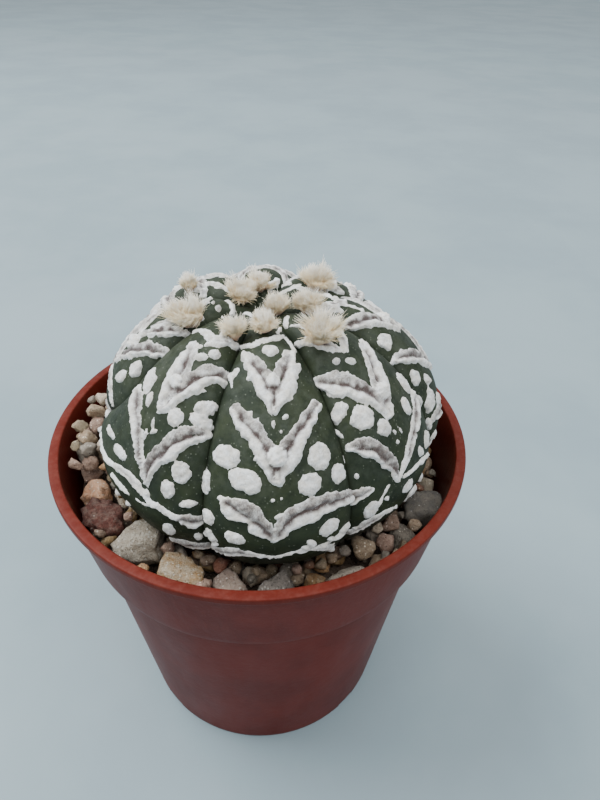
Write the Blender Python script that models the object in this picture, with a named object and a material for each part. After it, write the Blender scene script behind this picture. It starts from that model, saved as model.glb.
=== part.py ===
# Star cactus with eight ribs in a small plastic nursery pot, top-dressed with gravel.
# The origin is the centre of the pot's foot, +Z runs up the pot, and -Y is the front.
import math
import random

import bpy
import bmesh
from mathutils import Matrix, Vector, noise
from mathutils.bvhtree import BVHTree

mm = 0.001
seed = 61

# Pot: round and thin, with a rolled lip, a tall collar and a tapered wall below it.
pot_height = 75.0 * mm
lip_radius = 42.5 * mm
lip_height = 1.5 * mm
mouth_radius = 40.5 * mm
collar_foot_z = 56.0 * mm
collar_foot_radius = 38.9 * mm
wall_top_radius = 37.1 * mm
foot_radius = 30.8 * mm
foot_inner_radius = 27.2 * mm
foot_recess = 2.0 * mm
wall_thickness = 0.9 * mm
floor_thickness = 1.2 * mm
pot_segments = 72
drain_count = 6
drain_radius = 3.0 * mm
drain_ring_radius = 19.0 * mm
drain_turn = math.radians(7.0)
notch_count = 4
notch_width = 5.0 * mm
notch_height = 1.2 * mm

# Gravel: a bed that fills the pot and leans down towards +X, under loose stones.
bed_level = 61.4 * mm
bed_slope = 0.058
bed_gap = 0.5 * mm
socket_gap = 1.3 * mm
bed_segments = 60

# Cactus: eight ribs round a dimpled crown. Each pair is a radius and a height in mm.
body_center = Vector((1.9 * mm, -1.0 * mm))
crown_center = Vector((0.3 * mm, 2.8 * mm))
crest_profile = (
    (0.0, 100.4), (4.0, 101.8), (8.5, 103.3), (13.0, 103.6), (18.0, 101.9), (23.0, 99.0),
    (28.0, 94.6), (32.0, 89.1), (34.2, 83.5), (34.7, 79.5), (33.8, 75.5), (31.6, 71.0),
    (28.8, 67.5), (25.5, 64.0), (20.0, 60.0), (12.0, 56.5), (0.0, 55.0),
)
groove_profile = (
    (0.0, 100.4), (4.0, 100.7), (8.5, 100.8), (13.0, 100.0), (18.0, 98.3), (23.0, 95.1),
    (27.0, 90.9), (29.6, 86.2), (31.0, 82.0), (31.2, 78.3), (30.5, 74.6), (28.9, 70.6),
    (26.8, 67.3), (24.0, 63.8), (19.5, 60.0), (12.0, 56.5), (0.0, 55.0),
)
# Crest direction of each rib in degrees, its reach against the mean, and the groove after it.
ribs = (
    (-86.0, 1.00, -62.3),
    (-42.0, 0.965, -15.5),
    (5.0, 1.00, 27.0),
    (49.0, 1.00, 71.5),
    (94.0, 0.99, 116.5),
    (139.0, 1.00, 161.5),
    (184.0, 1.02, 207.5),
    (233.5, 0.94, 251.5),
)
rib_steps = (-1.0, -0.94, -0.82, -0.6, -0.32, 0.0, 0.32, 0.6, 0.82, 0.94)
body_rings = 30

# Wool tufts on the areoles: place seen from above, half width and height, all in mm.
tuft_gap = 0.45 * mm
tufts = (
    ("wool_front", 1.4, -9.8, 1.9, 1.9),
    ("wool_left_front", -3.8, -9.8, 1.6, 2.3),
    ("wool_right_front", 10.8, -10.7, 2.7, 2.2),
    ("wool_right", 8.9, 0.0, 2.0, 2.0),
    ("wool_right_back", 10.7, 8.1, 2.2, 2.3),
    ("wool_back", -0.2, 7.6, 1.7, 1.8),
    ("wool_left_back", -13.6, 7.9, 1.3, 2.2),
    ("wool_left", -12.1, -4.1, 2.7, 1.7),
    ("wool_crown_right", 3.2, -0.2, 2.1, 2.1),
    ("wool_crown_left", -3.3, 3.3, 2.0, 2.0),
)

# Larger stones: name, direction in degrees, distance from the axis, and three half sizes in mm.
stones = (
    ("stone_grey", 277.0, 33.7, 3.4, 3.8, 3.3),
    ("stone_pink", 263.0, 33.9, 3.4, 3.4, 3.1),
    ("stone_tan", 247.5, 34.4, 3.5, 4.5, 3.2),
    ("stone_speckled", 230.5, 33.4, 3.7, 4.3, 4.0),
    ("stone_scoria", 214.5, 35.2, 3.4, 3.9, 2.9),
    ("stone_orange", 201.5, 35.0, 3.0, 3.3, 2.8),
    ("stone_01", 190.5, 35.8, 2.8, 2.9, 2.5),
    ("stone_02", 180.5, 36.0, 2.6, 2.6, 2.4),
    ("stone_03", 170.5, 36.2, 2.6, 3.0, 2.5),
    ("stone_04", 159.5, 36.0, 2.7, 3.1, 2.6),
    ("stone_05", 147.5, 35.6, 3.0, 3.6, 2.8),
    ("stone_06", 135.0, 35.4, 3.1, 3.3, 2.7),
    ("stone_07", 123.0, 35.6, 3.0, 3.4, 3.0),
    ("stone_08", 110.5, 35.2, 3.3, 3.7, 3.0),
    ("stone_09", 97.5, 35.4, 3.2, 3.5, 2.8),
    ("stone_10", 85.0, 35.6, 3.0, 3.4, 3.1),
    ("stone_11", 72.5, 35.4, 3.2, 3.6, 2.8),
    ("stone_12", 60.0, 35.6, 3.0, 3.3, 2.9),
    ("stone_13", 47.5, 35.8, 2.9, 3.6, 2.8),
    ("stone_14", 35.5, 36.0, 2.7, 3.0, 2.8),
    ("stone_15", 24.5, 36.2, 2.5, 3.1, 2.6),
    ("stone_16", 13.0, 36.4, 2.4, 3.0, 2.8),
    ("stone_17", 2.0, 36.4, 2.4, 3.1, 2.7),
    ("stone_18", 351.0, 36.3, 2.4, 2.8, 2.6),
    ("stone_dark", 338.5, 35.6, 3.2, 4.0, 3.5),
    ("stone_19", 324.5, 35.4, 3.0, 3.8, 2.5),
    ("stone_20", 312.5, 35.4, 2.8, 2.8, 2.2),
    ("stone_cream", 300.5, 35.2, 3.2, 4.0, 2.0),
    ("stone_ochre", 289.0, 33.4, 2.2, 2.5, 2.3),
)
stone_lift = 0.75 * mm
stone_roughness = 0.16


def clear_scene():
    for obj in list(bpy.data.objects):
        bpy.data.objects.remove(obj, do_unlink=True)


def make_material(name, color, roughness, sheen=0.0):
    material = bpy.data.materials.new(name)
    material.use_nodes = True
    shader = material.node_tree.nodes["Principled BSDF"]
    shader.inputs["Base Color"].default_value = (*color, 1.0)
    shader.inputs["Roughness"].default_value = roughness
    shader.inputs["Sheen Weight"].default_value = sheen
    return material


def make_object(name, verts, faces, material, smooth=True):
    mesh = bpy.data.meshes.new(name)
    mesh.from_pydata([tuple(v) for v in verts], [], faces)
    mesh.validate()
    if smooth:
        mesh.shade_smooth()
    obj = bpy.data.objects.new(name, mesh)
    bpy.context.collection.objects.link(obj)
    obj.data.materials.append(material)
    return obj


def faces_out(obj):
    work = bmesh.new()
    work.from_mesh(obj.data)
    bmesh.ops.recalc_face_normals(work, faces=work.faces)
    if work.calc_volume(signed=True) < 0:
        bmesh.ops.reverse_faces(work, faces=work.faces)
    work.to_mesh(obj.data)
    work.free()


def polar(radius, angle, height):
    return Vector((radius * math.cos(angle), radius * math.sin(angle), height))


def lathe(name, profile, segments, material):
    """Turns a profile that starts and ends on the axis into one closed solid."""
    work = bmesh.new()
    points = [work.verts.new((radius, 0.0, height)) for radius, height in profile]
    edges = [work.edges.new(pair) for pair in zip(points, points[1:])]
    bmesh.ops.spin(work, geom=points + edges, cent=(0, 0, 0), axis=(0, 0, 1),
                   angle=math.tau, steps=segments, use_merge=True)
    bmesh.ops.remove_doubles(work, verts=work.verts, dist=0.000001)
    mesh = bpy.data.meshes.new(name)
    work.to_mesh(mesh)
    work.free()
    obj = bpy.data.objects.new(name, mesh)
    bpy.context.collection.objects.link(obj)
    mesh.materials.append(material)
    faces_out(obj)
    return obj


def wall_radius(height):
    """Outer radius of the plain wall below the collar."""
    return foot_radius + (wall_top_radius - foot_radius) * height / collar_foot_z


def inner_radius(height):
    """Inner radius of the pot at a height, collar included."""
    if height <= 55.0 * mm:
        return wall_radius(height) - wall_thickness
    collar_low = collar_foot_radius - 0.75 * mm
    if height < 57.0 * mm:
        low = wall_radius(55.0 * mm) - wall_thickness
        return low + (collar_low - low) * (height - 55.0 * mm) / (2.0 * mm)
    share = (height - 57.0 * mm) / (pot_height - 57.0 * mm)
    return collar_low + (mouth_radius - collar_low) * share


def cut(target, cutter):
    cutter.hide_render = True
    cutter.display_type = "WIRE"
    step = target.modifiers.new("cut", "BOOLEAN")
    step.operation = "DIFFERENCE"
    step.solver = "EXACT"
    step.object = cutter
    bpy.context.view_layer.objects.active = target
    bpy.ops.object.modifier_apply(modifier=step.name)
    bpy.data.objects.remove(cutter, do_unlink=True)


def build_pot():
    material = make_material("pot_plastic", (0.30, 0.075, 0.055), 0.42)
    floor_top = foot_recess + floor_thickness
    lip_foot = pot_height - lip_height
    collar_top = mouth_radius + 0.9 * mm
    profile = [
        (0.0, foot_recess),
        (foot_inner_radius - 0.6 * mm, foot_recess),
        (foot_inner_radius, 0.0),
        (foot_radius - 0.5 * mm, 0.0),
        (foot_radius, 0.5 * mm),
        (wall_radius(collar_foot_z * 0.5), collar_foot_z * 0.5),
        (wall_radius(collar_foot_z - 0.4 * mm), collar_foot_z - 0.4 * mm),
        (collar_foot_radius - 0.4 * mm, collar_foot_z),
        (collar_foot_radius, collar_foot_z + 0.5 * mm),
        (collar_top, lip_foot - 0.3 * mm),
        (lip_radius - 0.3 * mm, lip_foot),
        (lip_radius, lip_foot + 0.35 * mm),
        (lip_radius, pot_height - 0.35 * mm),
        (lip_radius - 0.35 * mm, pot_height),
        (mouth_radius + 0.35 * mm, pot_height),
        (mouth_radius, pot_height - 0.35 * mm),
        (inner_radius(66.0 * mm), 66.0 * mm),
        (inner_radius(57.0 * mm), 57.0 * mm),
        (inner_radius(55.0 * mm), 55.0 * mm),
        (inner_radius(30.0 * mm), 30.0 * mm),
        (inner_radius(floor_top + 0.6 * mm), floor_top + 0.6 * mm),
        (inner_radius(floor_top) - 0.6 * mm, floor_top),
        (0.0, floor_top),
    ]
    pot = lathe("pot", profile, pot_segments, material)
    for i in range(drain_count):
        angle = math.tau * (i + 0.5) / drain_count + drain_turn
        place = polar(drain_ring_radius, angle, floor_top * 0.6)
        bpy.ops.mesh.primitive_cylinder_add(vertices=22, radius=drain_radius, depth=9 * mm, location=place)
        cut(pot, bpy.context.object)
    for i in range(notch_count):
        angle = math.tau * (i + 0.5) / notch_count
        place = polar(foot_radius - 2.0 * mm, angle, 0.0)
        bpy.ops.mesh.primitive_cube_add(size=1.0, location=place, rotation=(0, 0, angle))
        box = bpy.context.object
        box.scale = (7.5 * mm, notch_width, notch_height * 2)
        bpy.context.view_layer.update()
        box.data.transform(Matrix.Diagonal((*box.scale, 1.0)))
        box.scale = (1.0, 1.0, 1.0)
        cut(pot, box)
    faces_out(pot)
    pot.data.shade_smooth()
    return pot


def curve_point(points, place):
    """Catmull-Rom point at a place along a list of radius and height pairs."""
    last = len(points) - 1
    k = min(int(place), last - 1)
    share = place - k
    around = [points[max(k - 1, 0)], points[k], points[k + 1], points[min(k + 2, last)]]
    out = []
    for axis in (0, 1):
        a, b, c, d = (p[axis] for p in around)
        slope_b = (c - a) * 0.5
        slope_c = (d - b) * 0.5
        cube = 2 * b - 2 * c + slope_b + slope_c
        square = -3 * b + 3 * c - 2 * slope_b - slope_c
        out.append(((cube * share + square) * share + slope_b) * share + b)
    return out[0] * mm, out[1] * mm


def rib_angle(rib, across):
    crest, reach, after = ribs[rib]
    before = ribs[rib - 1][2]
    if rib == 0:
        before = ribs[-1][2] - 360.0
    if across < 0:
        return math.radians(crest + (crest - before) * across)
    return math.radians(crest + (after - crest) * across)


def body_point(rib, across, place):
    """Skin point: rib index, -1 to 1 across the rib, and a place down the profile."""
    swell = max(1.0 - abs(across) ** 2.2, 0.0) ** 0.62
    crest_r, crest_z = curve_point(crest_profile, place)
    groove_r, groove_z = curve_point(groove_profile, place)
    reach = 1.0 + (ribs[rib][1] - 1.0) * swell * min(place / 8.0, 1.0)
    if place > 12.0:
        reach = 1.0 + (reach - 1.0) * max(0.0, 1.0 - (place - 12.0) / 2.0)
    radius = (groove_r + (crest_r - groove_r) * swell) * reach
    height = groove_z + (crest_z - groove_z) * swell
    lean = max(0.0, min(1.0, 1.0 - place / 8.0)) ** 1.5
    center = body_center.lerp(crown_center, lean)
    angle = rib_angle(rib, across)
    return Vector((center.x + radius * math.cos(angle), center.y + radius * math.sin(angle), height))


def build_cactus():
    material = make_material("cactus_skin", (0.045, 0.06, 0.04), 0.62)
    last = len(crest_profile) - 1
    verts = [body_point(0, 0.0, 0.0), body_point(0, 0.0, last)]
    for ring in range(1, body_rings):
        place = last * ring / body_rings
        for rib in range(len(ribs)):
            for across in rib_steps:
                verts.append(body_point(rib, across, place))
    count = len(ribs) * len(rib_steps)
    faces = []
    for i in range(count):
        j = (i + 1) % count
        faces.append((0, 2 + i, 2 + j))
        low = 2 + (body_rings - 2) * count
        faces.append((1, low + j, low + i))
        for ring in range(body_rings - 2):
            a = 2 + ring * count
            b = a + count
            faces.append((a + i, b + i, b + j, a + j))
    body = make_object("cactus_body", verts, faces, material)
    faces_out(body)
    return body


def underside(radius):
    """Height of the widest cactus underside at a distance from its own axis."""
    steps = 60
    for i in range(steps + 1):
        place = 16.0 - 6.5 * i / steps
        r, z = curve_point(crest_profile, place)
        if r >= radius:
            return z
    return 80.0 * mm


def bed_height(x, y):
    lump = noise.noise(Vector((x, y, 0.0)) / (6.0 * mm)) * 0.5 * mm
    level = bed_level - bed_slope * x + min(lump, 0.0)
    radius = math.hypot(x - body_center.x, y - body_center.y)
    return min(level, underside(radius) - socket_gap)


def build_bed():
    material = make_material("gravel", (0.20, 0.15, 0.105), 0.9)
    floor_top = foot_recess + floor_thickness
    low = floor_top + bed_gap
    wall = [
        (inner_radius(low + 1.0 * mm) - bed_gap - 1.0 * mm, low),
        (inner_radius(low + 1.0 * mm) - bed_gap, low + 1.0 * mm),
        (inner_radius(30.0 * mm) - bed_gap, 30.0 * mm),
        (inner_radius(54.8 * mm) - bed_gap, 54.8 * mm),
        (inner_radius(57.4 * mm) - bed_gap - 0.3 * mm, 57.4 * mm),
    ]
    rings = 17
    verts = [Vector((0, 0, low)), Vector((0, 0, 0))]
    for radius, height in wall:
        for i in range(bed_segments):
            verts.append(polar(radius, math.tau * i / bed_segments, height))
    for k in range(rings):
        share = 1.0 - k / rings
        for i in range(bed_segments):
            flat = polar(share * (inner_radius(60.0 * mm) - bed_gap), math.tau * i / bed_segments, 0)
            verts.append(Vector((flat.x, flat.y, bed_height(flat.x, flat.y))))
    verts[1] = Vector((0, 0, bed_height(0.0, 0.0)))
    faces = []
    total = len(wall) + rings
    for i in range(bed_segments):
        j = (i + 1) % bed_segments
        last = 2 + (total - 1) * bed_segments
        faces.append((0, 2 + j, 2 + i))
        faces.append((1, last + i, last + j))
        for k in range(total - 1):
            a = 2 + k * bed_segments
            b = a + bed_segments
            faces.append((a + i, a + j, b + j, b + i))
    bed = make_object("gravel_bed", verts, faces, material)
    faces_out(bed)
    return bed


def build_tuft(name, x, y, half_width, height, skin, material):
    """A cap of wool that follows the skin under it."""
    rings = 4
    sectors = 12
    anchor, normal, _, _ = skin.ray_cast(Vector((x * mm, y * mm, 0.2)), Vector((0, 0, -1)))
    normal = (normal + Vector((0, 0, 1.5))).normalized()
    side = normal.orthogonal().normalized()
    other = normal.cross(side)
    under = []
    over = []
    for k in range(rings + 1):
        share = k / rings
        for i in range(sectors if k else 1):
            angle = math.tau * i / sectors
            reach = half_width * mm * share
            start = anchor + side * reach * math.cos(angle) + other * reach * math.sin(angle)
            hit = skin.ray_cast(start + normal * 0.02, -normal)[0]
            low = hit + normal * tuft_gap
            for _ in range(8):
                low = low + normal * max(tuft_gap - skin.find_nearest(low)[3], 0.0)
            puff = math.sqrt(max(1.0 - share ** 2.4, 0.0)) * height * mm
            bump = noise.noise(hit / (1.4 * mm)) * 0.3 * mm * (1.0 - share)
            under.append(low)
            over.append(low + normal * (0.35 * mm + puff + bump))
    faces = []
    offset = len(under)
    for i in range(sectors):
        j = (i + 1) % sectors
        faces.append((0, 1 + j, 1 + i))
        faces.append((offset, offset + 1 + i, offset + 1 + j))
        for k in range(rings - 1):
            a = 1 + k * sectors
            b = a + sectors
            faces.append((a + i, a + j, b + j, b + i))
            faces.append((offset + a + j, offset + a + i, offset + b + i, offset + b + j))
        rim = 1 + (rings - 1) * sectors
        faces.append((rim + i, rim + j, offset + rim + j, offset + rim + i))
    obj = make_object(name, under + over, faces, material)
    faces_out(obj)
    return obj


def build_tufts(body):
    material = make_material("wool", (0.72, 0.66, 0.54), 0.95, 0.4)
    work = bmesh.new()
    work.from_mesh(body.data)
    skin = BVHTree.FromBMesh(work)
    work.free()
    for row in tufts:
        build_tuft(*row, skin, material)


def build_stone(name, direction, distance, half_sizes, material, rng):
    detail = 3 if max(half_sizes) >= 3.7 else 2
    work = bmesh.new()
    bmesh.ops.create_icosphere(work, subdivisions=detail, radius=1.0)
    shift = Vector((rng.uniform(-50, 50), rng.uniform(-50, 50), rng.uniform(-50, 50)))
    for vert in work.verts:
        dent = 0.5 + 0.5 * noise.noise(vert.co * 1.3 + shift)
        vert.co = vert.co * (1.0 - stone_roughness * dent)
    size = Matrix.Diagonal((*[h * mm for h in half_sizes], 1.0))
    turn = Matrix.Rotation(math.radians(direction), 4, "Z")
    work.transform(turn @ size)
    angle = math.radians(direction)
    flat = polar(distance * mm, angle, 0.0)
    bed = bed_level - bed_slope * flat.x
    low = min(v.co.z + bed_slope * v.co.x for v in work.verts)
    work.transform(Matrix.Translation(Vector((flat.x, flat.y, bed + stone_lift - low))))
    mesh = bpy.data.meshes.new(name)
    work.to_mesh(mesh)
    work.free()
    mesh.shade_smooth()
    obj = bpy.data.objects.new(name, mesh)
    bpy.context.collection.objects.link(obj)
    mesh.materials.append(material)
    faces_out(obj)
    return obj


stone_colors = {
    "stone_grey": (0.24, 0.20, 0.17),
    "stone_pink": (0.40, 0.27, 0.19),
    "stone_tan": (0.36, 0.28, 0.18),
    "stone_speckled": (0.30, 0.26, 0.20),
    "stone_scoria": (0.10, 0.045, 0.03),
    "stone_orange": (0.40, 0.21, 0.12),
    "stone_dark": (0.13, 0.12, 0.12),
    "stone_cream": (0.52, 0.43, 0.31),
    "stone_ochre": (0.28, 0.15, 0.06),
}


def build_stones():
    rng = random.Random(seed)
    for name, direction, distance, *half_sizes in stones:
        shade = rng.uniform(0.75, 1.15)
        color = stone_colors.get(name, (0.32 * shade, 0.24 * shade, 0.17 * shade))
        material = make_material(name, color, 0.85)
        build_stone(name, direction, distance, half_sizes, material, rng)


clear_scene()
build_pot()
build_bed()
build_tufts(build_cactus())
build_stones()
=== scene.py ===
# Potted star cactus: the looks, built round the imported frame.
import math

import bmesh
import bpy
import numpy as np
from mathutils import Matrix, Vector


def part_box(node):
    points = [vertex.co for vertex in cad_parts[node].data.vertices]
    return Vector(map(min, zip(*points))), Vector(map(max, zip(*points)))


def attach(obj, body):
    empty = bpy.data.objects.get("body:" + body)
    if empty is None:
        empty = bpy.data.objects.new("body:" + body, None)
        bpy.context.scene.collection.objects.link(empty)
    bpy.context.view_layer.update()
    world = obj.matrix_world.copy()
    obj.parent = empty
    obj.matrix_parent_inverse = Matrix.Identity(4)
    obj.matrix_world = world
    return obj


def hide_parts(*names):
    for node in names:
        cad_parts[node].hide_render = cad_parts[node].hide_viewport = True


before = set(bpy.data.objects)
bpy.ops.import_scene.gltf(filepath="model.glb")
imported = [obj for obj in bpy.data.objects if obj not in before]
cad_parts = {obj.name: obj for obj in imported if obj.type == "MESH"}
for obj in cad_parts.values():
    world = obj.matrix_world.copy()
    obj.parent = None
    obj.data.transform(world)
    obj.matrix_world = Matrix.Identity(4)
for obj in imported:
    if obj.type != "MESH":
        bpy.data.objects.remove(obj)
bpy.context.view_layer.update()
mm = 0.001
rng = np.random.default_rng(17)
potLow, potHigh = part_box("pot")
potFoot = np.array([(potLow[0] + potHigh[0]) / 2, (potLow[1] + potHigh[1]) / 2, potLow[2]])
potTop = (potHigh[2] - potLow[2]) / mm
fullTurn = 2 * math.pi


# Everything is worked out in millimetres from the middle of the pot's foot.
def toMetres(points):
    return np.asarray(points, float) * mm + potFoot


def nodeBox(node):  # middle and half size of a CAD node
    low, high = (np.array(corner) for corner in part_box(node))
    return ((low + high) / 2 - potFoot) / mm, (high - low) / 2 / mm


def latticeNoise(points, size, salt=0):  # smooth noise, -1 to 1, with lumps of that size
    p = np.asarray(points, float) / size
    base = np.floor(p).astype(np.int64)
    f = p - base
    f = f * f * (3.0 - 2.0 * f)
    total = np.zeros(p.shape[:-1])
    for corner in range(8):
        step = np.array([corner & 1, (corner >> 1) & 1, corner >> 2])
        c = base + step
        h = (c[..., 0] * 73856093) ^ (c[..., 1] * 19349663) ^ (c[..., 2] * 83492791)
        h = h ^ (salt * 39916801 + 977)
        h = ((h ^ (h >> 13)) * 1274126177) & 0x7FFFFFFF
        h = ((h ^ (h >> 11)) * 668265263) & 0x7FFFFFFF
        weight = np.prod(np.where(step == 1, f, 1.0 - f), axis=-1)
        total += weight * ((h & 0xFFFF) / 32767.5 - 1.0)
    return total


def smoothStep(low, high, x):
    t = np.clip((x - low) / (high - low), 0.0, 1.0)
    return t * t * (3.0 - 2.0 * t)


def unit(vectors):
    return vectors / np.maximum(np.linalg.norm(vectors, axis=-1, keepdims=True), 1e-9)


def curveAt(points, place):  # Catmull-Rom through the points, place counts from the first one
    pts = np.array(points, float)
    last = len(pts) - 1
    k = np.clip(np.floor(place).astype(int), 0, last - 1)
    t = (place - k)[..., None]
    a, b, c, d = pts[np.maximum(k - 1, 0)], pts[k], pts[k + 1], pts[np.minimum(k + 2, last)]
    mb, mc = (c - a) * 0.5, (d - b) * 0.5
    return ((2 * b - 2 * c + mb + mc) * t + (-3 * b + 3 * c - 2 * mb - mc)) * t * t + mb * t + b


plantShape = {
    "crest": (
        (0.0, 100.4), (4.0, 101.8), (8.5, 103.3), (13.0, 103.6), (18.0, 101.9), (23.0, 99.0),
        (28.0, 94.6), (32.0, 89.1), (34.2, 83.5), (34.7, 79.5), (33.8, 75.5), (31.6, 71.0),
        (28.8, 67.5), (25.5, 64.0), (20.0, 60.0), (12.0, 56.5), (0.0, 55.0),
    ),
    "groove": (
        (0.0, 100.4), (4.0, 100.7), (8.5, 100.8), (13.0, 100.0), (18.0, 98.3), (23.0, 95.1),
        (27.0, 90.9), (29.6, 86.2), (31.0, 82.0), (31.2, 78.3), (30.5, 74.6), (28.9, 70.6),
        (26.8, 67.3), (24.0, 63.8), (19.5, 60.0), (12.0, 56.5), (0.0, 55.0),
    ),
    "center": (1.9, -1.0),
    "crown": (0.3, 2.8),
    # crest direction in degrees and its drift lower down, reach against the mean,
    # direction of the groove after it and its drift
    "ribs": (
        (-86.0, 0.0, 1.0, -62.3, 0.0), (-42.0, 0.0, 0.965, -15.5, 1.0), (5.0, 0.0, 1.0, 27.0, 0.0),
        (49.0, 0.0, 1.0, 71.5, 0.0), (94.0, 0.0, 0.99, 116.5, 0.0), (139.0, -3.0, 1.0, 161.5, -8.0),
        (184.0, -10.5, 0.947, 207.5, -26.0), (233.5, 0.0, 0.985, 251.5, 0.0),
    ),
    "driftFrom": 5.6, "driftTo": 9.0,  # places on the profile
}
ribCount = len(plantShape["ribs"])


def ribSkin(rib, across, place):  # across runs -1 to 1 from groove to groove, place down the profile
    across, place = np.broadcast_arrays(across, place)
    crestTurn, crestDrift, reachOut, after, afterDrift = plantShape["ribs"][rib]
    before, beforeDrift = plantShape["ribs"][rib - 1][3:]
    before -= 360.0 if rib == 0 else 0.0
    drift = smoothStep(plantShape["driftFrom"], plantShape["driftTo"], place)
    crestTurn = crestTurn + crestDrift * drift
    after = after + afterDrift * drift
    before = before + beforeDrift * drift
    swell = np.maximum(1.0 - np.abs(across) ** 2.2, 0.0) ** 0.62
    crest = curveAt(plantShape["crest"], place)
    groove = curveAt(plantShape["groove"], place)
    fade = np.clip(place / 8.0, 0, 1) * np.clip(1.0 - (place - 12.0) / 2.0, 0, 1)
    mix = groove + (crest - groove) * swell[..., None]
    radius = mix[..., 0] * (1.0 + (reachOut - 1.0) * swell * fade)
    turn = np.radians(np.where(across < 0, crestTurn + (crestTurn - before) * across,
                               crestTurn + (after - crestTurn) * across))
    lean = np.clip(1.0 - place / 8.0, 0, 1) ** 1.5
    cx = plantShape["center"][0] + (plantShape["crown"][0] - plantShape["center"][0]) * lean
    cy = plantShape["center"][1] + (plantShape["crown"][1] - plantShape["center"][1]) * lean
    return np.stack([cx + radius * np.cos(turn), cy + radius * np.sin(turn), mix[..., 1]], -1)


crestPlaces = np.linspace(0, len(plantShape["crest"]) - 1, 1601)
crestLine = curveAt(plantShape["crest"], crestPlaces)
crestLength = np.concatenate([[0], np.cumsum(np.linalg.norm(np.diff(crestLine, axis=0), axis=1))])


def placeAt(down):  # profile place at a distance in mm down the crest
    return np.interp(down, crestLength, crestPlaces)


def ribGrid(rib, downs, columns):  # skin points, outward normals and mm across and down
    x = np.linspace(-1, 1, columns)
    across = 1.5 * x - 0.5 * x ** 3  # closer together in the grooves
    points = ribSkin(rib, across[None, :], placeAt(downs)[:, None])
    steps = np.linalg.norm(np.diff(points, axis=1), axis=-1)
    side = np.concatenate([np.zeros((len(downs), 1)), np.cumsum(steps, axis=1)], axis=1)
    side -= side[:, columns // 2][:, None]
    alongDown = np.gradient(points, axis=0)
    alongSide = np.gradient(points, axis=1)
    normals = unit(np.cross(alongDown, alongSide))
    return points, normals, side, np.broadcast_to(downs[:, None], side.shape)


def makePiece(name, points, faces, material, slot, replaces=(), **attributes):
    mesh = bpy.data.meshes.new(name)
    blocks = [np.asarray(block, np.int32) for block in faces if len(block)]
    loops = np.concatenate([block.ravel() for block in blocks])
    sizes = np.concatenate([np.full(len(block), block.shape[1]) for block in blocks])
    mesh.vertices.add(len(points))
    mesh.vertices.foreach_set("co", toMetres(points).astype(np.float32).ravel())
    mesh.loops.add(len(loops))
    mesh.loops.foreach_set("vertex_index", loops)
    mesh.polygons.add(len(sizes))
    mesh.polygons.foreach_set("loop_start", np.concatenate([[0], np.cumsum(sizes)[:-1]]).astype(np.int32))
    mesh.update(calc_edges=True)
    mesh.validate()
    mesh.shade_smooth()
    for label, values in attributes.items():
        layer = mesh.attributes.new(label, "FLOAT", "POINT")
        layer.data.foreach_set("value", np.asarray(values, np.float32))
    mesh.materials.append(material)
    piece = bpy.data.objects.new(name, mesh)
    bpy.context.collection.objects.link(piece)
    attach(piece, "root")
    for node in replaces:
        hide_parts(node)
    return piece


def gridFaces(rows, columns, wrap=False):  # quads of a grid whose vertices run row by row
    quads = columns if wrap else columns - 1
    row, column = np.meshgrid(np.arange(rows - 1), np.arange(quads), indexing="ij")
    a = row * columns + column
    b = row * columns + (column + 1) % columns
    return np.stack([a, b, b + columns, a + columns], -1).reshape(-1, 4)


def poleFans(rows, around):  # triangles from the first and last ring to the two poles after them
    ring = np.arange(around)
    after = (ring + 1) % around
    last = (rows - 1) * around
    pole = np.full(around, rows * around)
    return [np.stack([pole, after, ring], -1), np.stack([pole + 1, last + ring, last + after], -1)]


# Shader helpers. A value is a number, a color or the socket that feeds it.
def addNode(tree, kind, inputs=None, **settings):
    made = tree.nodes.new("ShaderNode" + kind)
    for name, value in settings.items():
        setattr(made, name, value)
    for name, value in (inputs or {}).items():
        feed(tree, made.inputs[name], value)
    return made


def feed(tree, socket, value):
    if isinstance(value, bpy.types.NodeSocket):
        tree.links.new(value, socket)
    elif isinstance(value, tuple) and len(value) == 3 and socket.type == "RGBA":
        socket.default_value = (*value, 1.0)
    else:
        socket.default_value = value


def mixColors(tree, factor, first, second, mode="MIX"):
    made = addNode(tree, "Mix", data_type="RGBA", blend_type=mode)
    for index, value in ((0, factor), (6, first), (7, second)):
        feed(tree, made.inputs[index], value)
    return made.outputs[2]


def calculate(tree, operation, first, second=0.0, third=None, clamp=False):
    made = addNode(tree, "Math", operation=operation, use_clamp=clamp)
    for index, value in enumerate((first, second) if third is None else (first, second, third)):
        feed(tree, made.inputs[index], value)
    return made.outputs[0]


def between(tree, value, low, high):  # 0 below low, 1 above high, smooth in the middle
    made = addNode(tree, "MapRange", {"Value": value, "From Min": low, "From Max": high},
                   interpolation_type="SMOOTHSTEP")
    return made.outputs["Result"]


def place(tree, stretch=(1.0, 1.0, 1.0)):  # where a point lies on the object, in metres
    spot = addNode(tree, "TexCoord").outputs["Object"]
    if stretch == (1.0, 1.0, 1.0):
        return spot
    return addNode(tree, "Mapping", {"Vector": spot, "Scale": stretch}).outputs["Vector"]


def noise(tree, spot, scale, detail=3.0, roughness=0.55):
    return addNode(tree, "TexNoise", {"Vector": spot, "Scale": scale, "Detail": detail,
                                      "Roughness": roughness}).outputs["Fac"]


def cells(tree, spot, scale, feature="F1"):
    return addNode(tree, "TexVoronoi", {"Vector": spot, "Scale": scale}, feature=feature)


def attribute(tree, name):
    return addNode(tree, "Attribute", attribute_name=name).outputs["Fac"]


def newGroup(name, inputs, outputs):
    tree = bpy.data.node_groups.new(name, "ShaderNodeTree")
    for label, value in inputs:
        kind = "NodeSocketColor" if isinstance(value, tuple) else "NodeSocketFloat"
        socket = tree.interface.new_socket(label, in_out="INPUT", socket_type=kind)
        socket.default_value = (*value, 1.0) if isinstance(value, tuple) else value
    for label, kind in outputs:
        tree.interface.new_socket(label, in_out="OUTPUT", socket_type="NodeSocket" + kind)
    return tree, tree.nodes.new("NodeGroupInput").outputs, tree.nodes.new("NodeGroupOutput").inputs


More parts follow.
